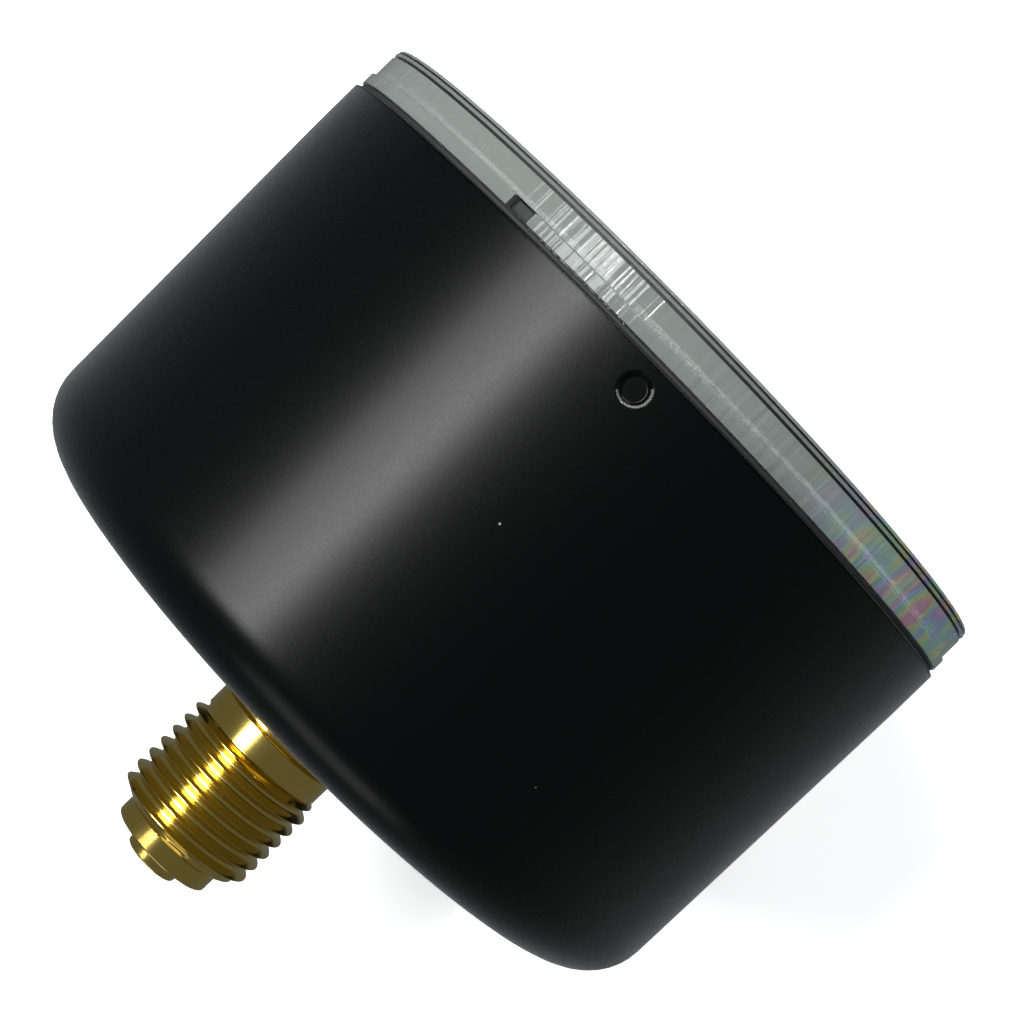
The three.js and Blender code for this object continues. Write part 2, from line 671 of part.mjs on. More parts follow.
// A flat ribbon wound in a spiral from the collet out to the stud.
function hairspring() {
  const steps = Math.round(HAIRSPRING_TURNS * 20);
  const side = (offset) => Array.from({ length: steps + 1 }, (_, i) => {
    const share = i / steps;
    const radius = HAIRSPRING_INNER + (HAIRSPRING_OUTER - HAIRSPRING_INNER) * share + offset;
    return polar(radius, HAIRSPRING_STUD_ANGLE - 360 * HAIRSPRING_TURNS * (1 - share));
  });
  const half = HAIRSPRING_THICKNESS / 2;
  return plate(shapeOf([...side(half), ...side(-half).reverse()]), HAIRSPRING_Y, HAIRSPRING_WIDTH);
}

// ---- Dial and pointer -----------------------------------------------------

function dialPlate() {
  const face = new THREE.Shape().absarc(0, 0, DIAL_RADIUS, 0, 2 * Math.PI, false);
  const hole = (x, radius) => new THREE.Path().absarc(x, 0, radius, 0, 2 * Math.PI, true);
  face.holes.push(hole(0, 1.5), hole(-DIAL_SCREW_X, 1.05), hole(DIAL_SCREW_X, 1.05));
  return plate(face, DIAL_BACK_Y, DIAL_THICKNESS, 30);
}

function stopPin() {
  const besidePointer = Math.asin((STOP_PIN_RADIUS + 0.75) / STOP_PIN_RING);
  const clock = rad(POINTER_REST) - besidePointer;
  const spot = [STOP_PIN_RING * Math.sin(clock), STOP_PIN_RING * Math.cos(clock)];
  return rod(STOP_PIN_RADIUS, DIAL_FRONT_Y, POINTER_BACK_Y - 0.9, spot, 20);
}

function pointerNeedle() {
  const thickness = POINTER_THICKNESS;
  const blank = join(
    plate(aroundDiscs([[0, 0, 1.1], [0, POINTER_LENGTH - 0.2, 0.2]]), POINTER_BACK_Y, thickness),
    plate(aroundDiscs([[0, 0, 1], [0, -8.4, 1.5]]), POINTER_BACK_Y, thickness),
    rod(2.7, POINTER_BACK_Y, POINTER_BACK_Y - thickness, [0, 0], 24),
  );
  return cut(blank, rod(1.4, POINTER_BACK_Y + 1, POINTER_BACK_Y - 1)).rotateY(rad(POINTER_REST));
}

function pointerHub() {
  const bore = 0.6 + RUNNING_GAP;
  const capY = POINTER_BACK_Y - 1.1;
  return turned([
    [bore, POINTER_BACK_Y + 0.75],
    [2.1, POINTER_BACK_Y + 0.75],
    [2.1, POINTER_BACK_Y + 0.05],
    [1.3, POINTER_BACK_Y + 0.05],
    [1.3, capY + 0.2],
    [1.1, capY],
    [bore, capY],
  ], 20);
}

// ---- The gauge ------------------------------------------------------------

const look = (color, roughness, metalness, extra = {}) => ({ color, roughness, metalness, ...extra });
const LOOKS = {
  blackPaint: look("#17181a", 0.42, 0.1),
  clearPlastic: look("#b9c1bf", 0.12, 0, { transparent: true, opacity: 0.4 }),
  blackRubber: look("#101011", 0.8, 0),
  turnedBrass: look("#b98d2e", 0.28, 1),
  sheetBrass: look("#c2a15a", 0.35, 1),
  tubeBronze: look("#b5824a", 0.35, 1),
  springBronze: look("#c08a4e", 0.3, 1),
  steel: look("#b4b6b8", 0.3, 1),
  whiteEnamel: look("#f1f1ee", 0.45, 0),
  blackEnamel: look("#111214", 0.4, 0),
};

const gauge = new THREE.Group();

function add(name, looks, geometry) {
  const mesh = new THREE.Mesh(geometry, new THREE.MeshStandardMaterial(LOOKS[looks]));
  mesh.name = name;
  gauge.add(mesh);
}

add("case", "blackPaint", caseCup());
add("window", "clearPlastic", windowPane());
add("window_seal", "blackRubber", ring(SKIRT_RADIUS + 0.1, CASE_RADIUS - 0.4, RIM_Y, RIM_Y - SEAL_HEIGHT, 60));
add("case_gasket", "blackRubber", ring(CASE_HOLE_RADIUS + 0.3, 10.3, FLOOR_Y, FLANGE_BACK_Y));
add("stem", "turnedBrass", stemWithSocket());
add("restrictor_screw", "turnedBrass", restrictorScrew());
add("bourdon_tube", "tubeBronze", bourdonTube());
add("tube_tip", "turnedBrass", tubeTip());
add("tip_screw", "steel", linkScrew(TIP_PIVOT, LUG_BACK_Y + 0.3));
add("link", "sheetBrass", linkBar());
add("tail_screw", "steel", linkScrew(TAIL_PIVOT, SECTOR_Y + 0.3));
add("sector_gear", "sheetBrass", sectorGear());
add("sector_arbor", "turnedBrass", sectorArbor());
add("pinion_arbor", "turnedBrass", pinionArbor());
add("movement_back_plate", "sheetBrass", backPlate());
add("movement_front_plate", "sheetBrass", frontPlate());
add("hairspring", "springBronze", hairspring());
add("hairspring_collet", "turnedBrass", hairspringCollet());
add("hairspring_stud", "turnedBrass", hairspringStud());
add("dial", "whiteEnamel", dialPlate());
add("stop_pin", "steel", stopPin());
add("pointer", "blackEnamel", pointerNeedle());
add("pointer_hub", "turnedBrass", pointerHub());

for (const [side, spot] of Object.entries(POST_SPOTS)) {
  const y = FRONT_PLATE_Y - PLATE_THICKNESS;
  const plateScrew = { at: spot, y, head: 1.5, headHeight: 0.8, shank: 0.7, length: 3.6 };
  add(`plate_post_${side}`, "turnedBrass", platePost(spot));
  add(`plate_screw_${side}`, "steel", screw(plateScrew));
}
for (const [side, spot] of Object.entries(MOVEMENT_SCREW_SPOTS)) {
  const y = BACK_PLATE_Y - PLATE_THICKNESS;
  const movementScrew = { at: spot, y, head: 1.7, headHeight: 1, shank: 0.9, length: 4.5 };
  add(`movement_screw_${side}`, "steel", screw(movementScrew));
}
for (const [side, sign] of [["left", -1], ["right", 1]]) {
  const dialSpot = [sign * DIAL_SCREW_X, 0];
  const dialScrew = { at: dialSpot, y: DIAL_FRONT_Y, head: 1.9, headHeight: 0.9, shank: 0.9, length: 3.4 };
  const caseSpot = [sign * CASE_SCREW_X, 0];
  const caseShank = { shank: CASE_SCREW_SHANK, length: CASE_SCREW_LENGTH };
  const caseScrew = { at: caseSpot, y: BACK_Y, facing: 1, head: 2.7, headHeight: 1.6, slot: 0.6, ...caseShank };
  add(`dial_pillar_${side}`, "turnedBrass", dialPillar(dialSpot));
  add(`dial_screw_${side}`, "steel", screw(dialScrew));
  add(`case_screw_${side}`, "steel", screw(caseScrew));
}

export default gauge;
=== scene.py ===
# %% [markdown]
# # A dial pressure gauge, lying on its side
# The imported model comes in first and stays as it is: it fixes every size, place and joint. What follows
# builds the surfaces that are seen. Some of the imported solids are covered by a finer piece, and the
# others only get a better finish. Lengths are written in millimetres and turned into metres by MM.

# %% Load the frame
import json
import math

import bmesh
import bpy
from mathutils import Matrix, Vector


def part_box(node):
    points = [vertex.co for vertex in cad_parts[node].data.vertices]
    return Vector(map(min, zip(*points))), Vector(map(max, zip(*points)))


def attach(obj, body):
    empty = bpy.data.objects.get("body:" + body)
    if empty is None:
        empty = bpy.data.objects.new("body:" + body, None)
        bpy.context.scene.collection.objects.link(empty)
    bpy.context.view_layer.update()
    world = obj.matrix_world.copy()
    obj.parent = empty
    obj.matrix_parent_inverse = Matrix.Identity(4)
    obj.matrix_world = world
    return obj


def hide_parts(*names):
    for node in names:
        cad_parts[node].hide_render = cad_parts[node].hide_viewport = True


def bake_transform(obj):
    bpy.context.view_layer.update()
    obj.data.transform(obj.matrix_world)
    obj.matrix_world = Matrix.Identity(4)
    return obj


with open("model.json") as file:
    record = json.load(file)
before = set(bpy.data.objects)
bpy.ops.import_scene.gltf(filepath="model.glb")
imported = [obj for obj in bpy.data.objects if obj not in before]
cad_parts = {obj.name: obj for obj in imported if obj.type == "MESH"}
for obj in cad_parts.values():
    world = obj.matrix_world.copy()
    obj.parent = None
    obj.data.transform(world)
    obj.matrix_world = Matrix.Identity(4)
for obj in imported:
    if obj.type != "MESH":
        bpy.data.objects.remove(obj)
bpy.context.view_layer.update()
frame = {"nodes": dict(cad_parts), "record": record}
scene = bpy.context.scene
MM = 0.001

# %% [markdown]
# ## The camera
# The gauge lies on its side, so 12 o'clock on the dial points up and the camera looks down on it from
# there. It stands close: under two hundred millimetres off, which is why the stem looks small and hides
# its neck behind the case. It is rolled so that the stem points to the lower left. The lens is long
# enough for the gauge to fill the frame from that distance.

# %% Camera
CAMERA_PLACE = (0.0, -45.72, 190.5)
CAMERA_TURN = (-1.28, 1.23, -134.16)
camera_data = bpy.data.cameras.new("camera")
camera_data.lens = 82.34
camera_data.sensor_width = 36.0
camera_data.clip_start = 0.01
camera = bpy.data.objects.new("camera", camera_data)
camera.location = Vector(CAMERA_PLACE) * MM
camera.rotation_euler = [math.radians(turn) for turn in CAMERA_TURN]
scene.collection.objects.link(camera)
scene.camera = camera
print("camera at", tuple(round(c, 4) for c in camera.location))

# %% [markdown]
# ## Reading sizes from the frame
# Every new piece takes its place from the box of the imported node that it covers, so nothing has to be
# fitted. These few planes across the stem's axis are shared by several pieces.

# %% Shared sizes
case_low, case_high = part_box("case")
window_low, window_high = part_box("window")
RIM_Y = case_low.y / MM
BACK_Y = case_high.y / MM
CASE_R = case_high.x / MM
FRONT_Y = window_low.y / MM
WINDOW_R = window_high.x / MM
SKIRT_END_Y = window_high.y / MM
print(f"rim {RIM_Y:.2f}, back {BACK_Y:.2f}, front {FRONT_Y:.2f}, case radius {CASE_R:.2f}")

# %% [markdown]
# ## Turned shapes
# Almost everything on a gauge is round about one axis, because it was turned, spun or drawn. So the main
# helper takes half a section, as a list of (radius, y) corners, and spins it about the Y axis. A third
# number on a corner rounds it with that radius. Real edges are never perfectly sharp, and the small
# rounding is what catches the light.

# %% Helpers for sections
def rounded(corners, closed=False, steps=5):
    """The corners as (radius, y) points, with an arc in place of each corner that has a third number."""
    points = []
    count = len(corners)
    for i, corner in enumerate(corners):
        here = Vector(corner[:2])
        inner = closed or 0 < i < count - 1
        if len(corner) < 3 or not inner:
            points.append(tuple(here))
            continue
        back = (Vector(corners[i - 1][:2]) - here).normalized()
        ahead = (Vector(corners[(i + 1) % count][:2]) - here).normalized()
        half = back.angle(ahead) / 2
        reach = corner[2] / math.tan(half)
        centre = here + (back + ahead).normalized() * (corner[2] / math.sin(half))
        start = here + back * reach - centre
        end = here + ahead * reach - centre
        turn = start.angle_signed(end)
        for step in range(steps + 1):
            spoke = start.copy()
            spoke.rotate(Matrix.Rotation(-turn * step / steps, 2))
            points.append(tuple(centre + spoke))
    return points


def spun(points, steps=192, closed=False):
    """A bmesh made by spinning a section once round the Y axis."""
    bm = bmesh.new()
    verts = [bm.verts.new((r * MM, y * MM, 0)) for r, y in points]
    pairs = list(zip(verts, verts[1:]))
    if closed:
        pairs.append((verts[-1], verts[0]))
    edges = [bm.edges.new(pair) for pair in pairs]
    bmesh.ops.spin(bm, geom=verts + edges, cent=(0, 0, 0), axis=(0, 1, 0), dvec=(0, 0, 0),
                   angle=2 * math.pi, steps=steps, use_merge=True)
    bmesh.ops.remove_doubles(bm, verts=bm.verts, dist=0.001 * MM)
    bmesh.ops.recalc_face_normals(bm, faces=bm.faces)
    return bm


def into_scene(bm, name, body, node=None, material=None, sharp=32):
    """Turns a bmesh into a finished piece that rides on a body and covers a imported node."""
    mesh = bpy.data.meshes.new(name)
    bm.to_mesh(mesh)
    bm.free()
    mesh.shade_smooth()
    mesh.set_sharp_from_angle(angle=math.radians(sharp))
    piece = bpy.data.objects.new(name, mesh)
    scene.collection.objects.link(piece)
    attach(piece, body)
    if node:
        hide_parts(node)
    if material:
        mesh.materials.append(material)
    print(name, len(mesh.polygons), "faces")
    return piece


# %% [markdown]
# ## Finishes
# Each finish is a small node tree on one Principled shader. Patterns read Object coordinates, which here
# are metres in the gauge's own frame, so a grain of a fifth of a millimetre needs a scale of a few
# thousand. Numbers that are the same all over the piece are set on the shader's own sockets.

# %% A helper for node trees
def finish(name, base, roughness, metallic=0.0, **sockets):
    """A new material, with its node tree and its Principled shader."""
    material = bpy.data.materials.new(name)
    material.use_nodes = True
    tree = material.node_tree
    shader = tree.nodes["Principled BSDF"]
    shader.inputs["Base Color"].default_value = (*base, 1)
    shader.inputs["Roughness"].default_value = roughness
    shader.inputs["Metallic"].default_value = metallic
    for socket, value in sockets.items():
        shader.inputs[socket.replace("_", " ")].default_value = value
    return material, tree, shader


def add_node(tree, kind, links=(), **values):
    """Adds a node; links are (input name, output socket) pairs, values are inputs or properties."""
    node = tree.nodes.new(kind)
    for key, value in values.items():
        label = key.replace("_", " ").title()
        if hasattr(node, key):
            setattr(node, key, value)
        else:
            node.inputs[label].default_value = value
    for label, output in links:
        tree.links.new(output, node.inputs[label])
    return node


def object_noise(tree, scale, detail=3.0, stretch=(1, 1, 1)):
    """Noise in the piece's own space; stretch squeezes it along an axis, as brushing does."""
    place = add_node(tree, "ShaderNodeTexCoord")
    mapping = add_node(tree, "ShaderNodeMapping", [("Vector", place.outputs["Object"])])
    mapping.inputs["Scale"].default_value = stretch
    return add_node(tree, "ShaderNodeTexNoise", [("Vector", mapping.outputs["Vector"])],
                    scale=scale, detail=detail)


def ramp(tree, factor, low, high, low_value, high_value):
    """Maps a factor between low and high onto two values, held flat outside them."""
    node = add_node(tree, "ShaderNodeMapRange", [("Value", factor)])
    node.inputs["From Min"].default_value = low
    node.inputs["From Max"].default_value = high
    node.inputs["To Min"].default_value = low_value
    node.inputs["To Max"].default_value = high_value
    return node.outputs["Result"]


def bump(tree, shader, height, distance, strength=1.0):
    """Feeds a height, in metres times distance, to the shader's normal."""
    node = add_node(tree, "ShaderNodeBump", [("Height", height)])
    node.inputs["Distance"].default_value = distance
    node.inputs["Strength"].default_value = strength
    tree.links.new(node.outputs["Normal"], shader.inputs["Normal"])
    return node


# %% [markdown]
# The case is steel under satin black paint. Sprayed paint dries with a fine grain, so the broad highlight
# along the case breaks up into small speckles. One fine noise makes it: it lifts the surface a little and
# shifts the gloss with it. A few specks of dust sit on it.

# %% Black paint
def black_paint():
    material, tree, shader = finish("satin_black_paint", (0.0009, 0.0010, 0.0011), 0.28)
    shader.inputs["Specular IOR Level"].default_value = 0.15
    shader.inputs["Sheen Weight"].default_value = 0.1
    shader.inputs["Sheen Roughness"].default_value = 0.3
    grain = object_noise(tree, 5500, 3.0)
    tree.links.new(ramp(tree, grain.outputs["Fac"], 0.2, 0.8, 0.25, 0.31), shader.inputs["Roughness"])
    place = add_node(tree, "ShaderNodeTexCoord")
    specks = add_node(tree, "ShaderNodeTexVoronoi", [("Vector", place.outputs["Object"])], scale=140)
    near = ramp(tree, specks.outputs["Distance"], 0.006, 0.016, 1, 0)
    chosen = add_node(tree, "ShaderNodeSeparateColor", [("Color", specks.outputs["Color"])])
    few = ramp(tree, chosen.outputs["Red"], 0.80, 0.81, 0, 1)
    dust = add_node(tree, "ShaderNodeMath", operation="MULTIPLY")
    tree.links.new(near, dust.inputs[0])
    tree.links.new(few, dust.inputs[1])
    colour = add_node(tree, "ShaderNodeMix", [("Factor", dust.outputs[0])], data_type="RGBA")
    colour.inputs["A"].default_value = (0.0009, 0.0010, 0.0011, 1)
    colour.inputs["B"].default_value = (0.35, 0.34, 0.32, 1)
    tree.links.new(colour.outputs["Result"], shader.inputs["Base Color"])
    bump(tree, shader, grain.outputs["Fac"], 0.000008, 0.3)
    return material


BLACK_PAINT = black_paint()
print("made", BLACK_PAINT.name)

# %% [markdown]
# Brass is turned on a lathe, so it keeps fine rings round the axis. Stretching a noise hard in the two
# directions across the axis, and not along it, draws such rings. Cut brass is yellow with a green cast,
# and handling leaves it slightly uneven.

# %% Metals
def metal(name, base, second, roughness, ring_scale=0.0, grain=0.00001):
    """A bare metal in two close colours; ring_scale above zero draws turning marks about the Y axis."""
    material, tree, shader = finish(name, base, roughness, 1.0)
    cloud = object_noise(tree, 300, 4.0)
    colour = add_node(tree, "ShaderNodeMix", [("Factor", cloud.outputs["Fac"])], data_type="RGBA")
    colour.inputs["A"].default_value = (*base, 1)
    colour.inputs["B"].default_value = (*second, 1)
    tree.links.new(colour.outputs["Result"], shader.inputs["Base Color"])
    tree.links.new(ramp(tree, cloud.outputs["Fac"], 0.3, 0.7, roughness * 0.8, roughness * 1.25),
                   shader.inputs["Roughness"])
    if ring_scale:
        marks = object_noise(tree, ring_scale, 2.0, (0.02, 1, 0.02))
    else:
        marks = object_noise(tree, 2500, 3.0)
    bump(tree, shader, marks.outputs["Fac"], grain, 0.4)
    return material


TURNED_BRASS = metal("turned_brass", (0.74, 0.56, 0.15), (0.60, 0.44, 0.10), 0.17, 4000)
SHEET_BRASS = metal("sheet_brass", (0.60, 0.44, 0.16), (0.52, 0.37, 0.12), 0.30)
TUBE_BRONZE = metal("tube_bronze", (0.50, 0.28, 0.11), (0.40, 0.21, 0.08), 0.28)
SPRING_BRONZE = metal("spring_bronze", (0.58, 0.34, 0.14), (0.50, 0.28, 0.10), 0.22)
STEEL = metal("plated_steel", (0.50, 0.51, 0.52), (0.42, 0.43, 0.44), 0.26)
print("made the metals")

# %% [markdown]
# The window is one moulding of clear plastic. Its flat front is seen through, but its thick rim bends the
# light so much that it looks like grey glass. So the rim has its own finish: still glossy, with less
# light let through and a grey body colour, painted in for the dim look of that bent light. Faint colour
# bands on one side of the rim are painted light as well: the colours that light brings out where the plastic
# cooled under stress.

# %% Plastics, rubber, enamel and ink
def clear_plastic():
    material, tree, shader = finish("clear_plastic", (0.93, 0.95, 0.94), 0.04)
    shader.inputs["Transmission Weight"].default_value = 1.0
    shader.inputs["IOR"].default_value = 1.49
    ripple = object_noise(tree, 60, 1.0)
    bump(tree, shader, ripple.outputs["Fac"], 0.00002, 0.08)
    return material


PAINTED_STRAIN_RAINBOW = [(0.42, 0.20, 0.30, 1), (0.44, 0.38, 0.14, 1), (0.20, 0.42, 0.24, 1), (0.18, 0.32, 0.44, 1),
               (0.30, 0.20, 0.44, 1), (0.44, 0.34, 0.20, 1), (0.20, 0.40, 0.34, 1)]


def rim_plastic():
    # The grey body colour is painted in for the dim look of light bent through the clear rim.
    material, tree, shader = finish("rim_plastic", (0.18, 0.20, 0.19), 0.10)
    shader.inputs["Transmission Weight"].default_value = 0.35
    shader.inputs["IOR"].default_value = 1.49
    shader.inputs["Specular IOR Level"].default_value = 0.15
    ripples = object_noise(tree, 1300, 2.0, (1, 0.03, 1))
    rings = object_noise(tree, 1500, 2.0, (0.05, 1, 0.05))
    both = add_node(tree, "ShaderNodeMath", operation="MULTIPLY_ADD")
    tree.links.new(rings.outputs["Fac"], both.inputs[0])
    both.inputs[1].default_value = 0.35
    tree.links.new(ripples.outputs["Fac"], both.inputs[2])
    bump(tree, shader, both.outputs[0], 0.00016, 1.0)

    # The colour bands are painted into the base colour on the minus X side only: painted light, standing in
    # for the stress colours that light shows in the plastic.
    strain = object_noise(tree, 330, 1.0, (1, 0.5, 1))
    painted_rainbow = add_node(tree, "ShaderNodeValToRGB", [("Fac", strain.outputs["Fac"])])
    painted_rainbow.color_ramp.elements[0].position = 0.3
    painted_rainbow.color_ramp.elements[0].color = PAINTED_STRAIN_RAINBOW[0]
    painted_rainbow.color_ramp.elements[1].position = 0.7
    painted_rainbow.color_ramp.elements[1].color = PAINTED_STRAIN_RAINBOW[-1]
    for step, hue in enumerate(PAINTED_STRAIN_RAINBOW[1:-1], 1):
        painted_rainbow.color_ramp.elements.new(0.3 + 0.4 * step / (len(PAINTED_STRAIN_RAINBOW) - 1)).color = hue
    place = add_node(tree, "ShaderNodeTexCoord")
    axes = add_node(tree, "ShaderNodeSeparateXYZ", [("Vector", place.outputs["Object"])])
    side = ramp(tree, axes.outputs["X"], -0.027, -0.012, 0.8, 0)
    colour = add_node(tree, "ShaderNodeMix", [("Factor", side)], data_type="RGBA")
    colour.inputs["A"].default_value = (0.18, 0.20, 0.19, 1)
    tree.links.new(painted_rainbow.outputs["Color"], colour.inputs["B"])
    tree.links.new(colour.outputs["Result"], shader.inputs["Base Color"])
    return material


def matt(name, base, roughness, scale, depth=0.00001):
    """A plain dull finish with a fine grain."""
    material, tree, shader = finish(name, base, roughness)
    grain = object_noise(tree, scale, 3.0)
    tree.links.new(ramp(tree, grain.outputs["Fac"], 0.3, 0.7, roughness - 0.05, roughness + 0.05),
                   shader.inputs["Roughness"])
    bump(tree, shader, grain.outputs["Fac"], depth, 0.3)
    return material


CLEAR_PLASTIC = clear_plastic()
RIM_PLASTIC = rim_plastic()
BLACK_RUBBER = matt("black_rubber", (0.012, 0.012, 0.012), 0.75, 1800)
WHITE_ENAMEL = matt("white_enamel", (0.86, 0.86, 0.84), 0.45, 2600)
BLACK_ENAMEL = matt("black_enamel", (0.012, 0.012, 0.013), 0.42, 2600)
# A painted highlight: a lighter paint that stands in for the glint on the lit side of each press mark's lip.
PAINTED_LIP_HIGHLIGHT = matt("painted_lip_highlight", (0.13, 0.13, 0.125), 0.3, 2600)
# Painted shade: a near black colour for the window's grooves and slot floor, in place of the shadow in those
# recesses.
PAINTED_RECESS_SHADE = matt("painted_recess_shade", (0.006, 0.007, 0.007), 0.6, 2600)
PRINT_INK = matt("print_ink", (0.015, 0.015, 0.016), 0.5, 3000)
print("made the plastics, rubber, enamels and ink")

# %% [markdown]
# ## The case
# The case is a cup drawn from one millimetre of steel, so its back corner is a generous radius and its
# wall is even. Half the section is drawn as a closed outline, inside and outside, and spun. Four round
# press marks near the rim hold the window: the tool pushed the wall in and left a bump inside. Only the
# wall near each mark is divided finely, and those points are then pushed inwards. One side of each mark's
# lip is painted lighter: a painted highlight, standing in for the glint where the lip faces the lamps.

# %% Case section
WALL = 1.0
TAPER = 0.45
BACK_CORNER = 5.0
MARK_Y = RIM_Y + 2.2
MARK_R = 1.3
MARK_DEPTH = 0.62
HOLE_R = 8.5
CASE_STEPS = 288


def case_section():
    """The closed outline of the cup's wall; extra points near the marks keep their faces square."""
    inside = CASE_R - WALL
    fine = [MARK_Y + 0.7 * row for row in range(-3, 4)]
    outer = [(CASE_R, y) for y in fine]
    inner = [(inside, y) for y in reversed(fine)]
    corners = [
        (inside, RIM_Y), (CASE_R, RIM_Y, 0.22), *outer,
        (CASE_R - TAPER, BACK_Y, BACK_CORNER), (HOLE_R, BACK_Y, 0.15), (HOLE_R, BACK_Y - WALL),
        (inside - TAPER, BACK_Y - WALL, BACK_CORNER - WALL), *inner,
    ]
    return rounded(corners, closed=True, steps=10)


case = spun(case_section(), CASE_STEPS, closed=True)
print("case blank:", len(case.faces), "faces")

# %% Press marks
def mark_depth(distance):
    """How far the tool pushed the wall in, at a distance from the middle of the mark."""
    if distance > MARK_R:
        return 0.0
    wall = min(1.0, (MARK_R - distance) / 0.42)
    return MARK_DEPTH * wall * wall * (3 - 2 * wall)


def press(bm, quarter):
    """Divides the wall round one mark and pushes it in, outside and inside."""
    outward = Vector((1, 0, 0))
    outward.rotate(Matrix.Rotation(quarter * math.pi / 2, 3, "Y"))
    middle = outward * (CASE_R * MM) + Vector((0, MARK_Y * MM, 0))

    def off_axis(point):
        across = point - middle
        return (across - outward * across.dot(outward)).length / MM

    near = [f for f in bm.faces if off_axis(f.calc_center_median()) < 2.0
            and f.calc_center_median().dot(outward) > 0]
    edges = list({e for f in near for e in f.edges})
    bmesh.ops.subdivide_edges(bm, edges=edges, cuts=10, use_grid_fill=True)
    for vert in bm.verts:
        if vert.co.dot(outward) < 0 or off_axis(vert.co) > 2.6:
            continue
        radius = math.hypot(vert.co.x, vert.co.z) / MM
        if not RIM_Y + 0.25 < vert.co.y / MM < BACK_Y - BACK_CORNER:
            continue
        outer = radius > CASE_R - WALL / 2
        true_radius = CASE_R if outer else CASE_R - WALL
        distance = off_axis(vert.co)
        if outer:
            depth = mark_depth(distance)
        else:
            rise = max(0.0, 1 - distance / 1.75)
            depth = 0.36 * rise * rise * (3 - 2 * rise)
        scale = (true_radius - depth) / radius
        vert.co.x *= scale
        vert.co.z *= scale
    # The faces on the lamp-facing side of each lip get the painted highlight, so it shows as a crescent.
    highlight_side = Vector((0, 1, 0)) + outward.cross(Vector((0, 1, 0)))
    for face in bm.faces:
        centre = face.calc_center_median()
        on_lip = centre.dot(outward) > (CASE_R - WALL / 2) * MM and 1.12 < off_axis(centre) < 1.25
        if on_lip and (centre - middle).dot(highlight_side) > 0:
            face.material_index = 1


for quarter in range(4):
    press(case, quarter)
bmesh.ops.recalc_face_normals(case, faces=case.faces)
case_piece = into_scene(case, "case_shell", "housing", "case", BLACK_PAINT, sharp=50)
case_piece.data.materials.append(PAINTED_LIP_HIGHLIGHT)

# %% [markdown]
# ## The window and its seal
# The window has a flange that sits on the rim of the case and a skirt that goes inside. A groove round
# the skirt snaps over the bumps of the press marks. Two narrow grooves run near the front edge. One small
# slot in the flange lets a screwdriver in to lift the window off. The grooves and the bottom of the slot
# are painted near black: painted shade, standing in for the shadow that falls into these recesses.

# %% Window
FLANGE_Y = RIM_Y - 0.45
SKIRT_R = 31.8
BAND_R = WINDOW_R - 0.25
PANE_BACK_Y = FRONT_Y + 2.2
WINDOW_STEPS = 360
GROOVES = ((0.26, 0.38), (0.66, 0.84))


def groove(sides):
    """The section of a square groove in the band, between two distances behind the front."""
    near, far = sides
    top, floor = BAND_R - 0.08, BAND_R - 0.32
    return [(top, FRONT_Y + near - 0.03), (floor, FRONT_Y + near), (floor, FRONT_Y + far),
            (BAND_R, FRONT_Y + far + 0.03)]


def window_section():
    groove_r = SKIRT_R - 0.6
    inner = SKIRT_R - 1.3
    return rounded([
        (0, FRONT_Y), (BAND_R - 0.10, FRONT_Y, 0.14), *groove(GROOVES[0]), *groove(GROOVES[1]),
        (BAND_R, FLANGE_Y - 1.05, 0.05), (WINDOW_R, FLANGE_Y - 1.0, 0.06),
        (WINDOW_R, FLANGE_Y, 0.05),
        (SKIRT_R, FLANGE_Y), (SKIRT_R, MARK_Y - 1.2), (groove_r, MARK_Y - 0.9), (groove_r, MARK_Y + 0.9),
        (SKIRT_R, MARK_Y + 1.2), (SKIRT_R - 0.2, SKIRT_END_Y, 0.1), (inner, SKIRT_END_Y, 0.2),
        (inner - 0.5, PANE_BACK_Y + 0.5, 0.3), (inner - 1.0, PANE_BACK_Y, 0.4), (0, PANE_BACK_Y),
    ], steps=4)


window = spun(window_section(), WINDOW_STEPS)
print("window blank:", len(window.faces), "faces")

# %% Lifting slot
SLOT_ANGLE = math.radians(26)
SLOT_WIDTH = 1.9
SLOT_DEPTH = 0.9
slot_way = Vector((math.sin(SLOT_ANGLE), 0, math.cos(SLOT_ANGLE)))


def in_slot(face):
    centre = face.calc_center_median()
    height = centre.y / MM
    across = centre.cross(Vector((0, 1, 0))).dot(slot_way) / MM
    outside = centre.dot(slot_way) > (WINDOW_R - 0.30) * MM
    return outside and abs(across) < SLOT_WIDTH / 2 and FLANGE_Y - 1.08 < height < FLANGE_Y - 0.02


slot_faces = [f for f in window.faces if in_slot(f)]
sunk = bmesh.ops.extrude_face_region(window, geom=slot_faces)
bmesh.ops.delete(window, geom=slot_faces, context="FACES")
# The floor of the slot takes the painted recess shade.
for face in (g for g in sunk["geom"] if isinstance(g, bmesh.types.BMFace)):
    face.material_index = 2
bmesh.ops.translate(window, verts=[v for v in sunk["geom"] if isinstance(v, bmesh.types.BMVert)],
                    vec=slot_way * (-SLOT_DEPTH * MM))
bmesh.ops.recalc_face_normals(window, faces=window.faces)
print("slot made from", len(slot_faces), "faces")

# %% Window piece and seal
window_piece = into_scene(window, "window_moulding", "housing", "window", CLEAR_PLASTIC)
window_piece.data.materials.append(RIM_PLASTIC)
window_piece.data.materials.append(PAINTED_RECESS_SHADE)
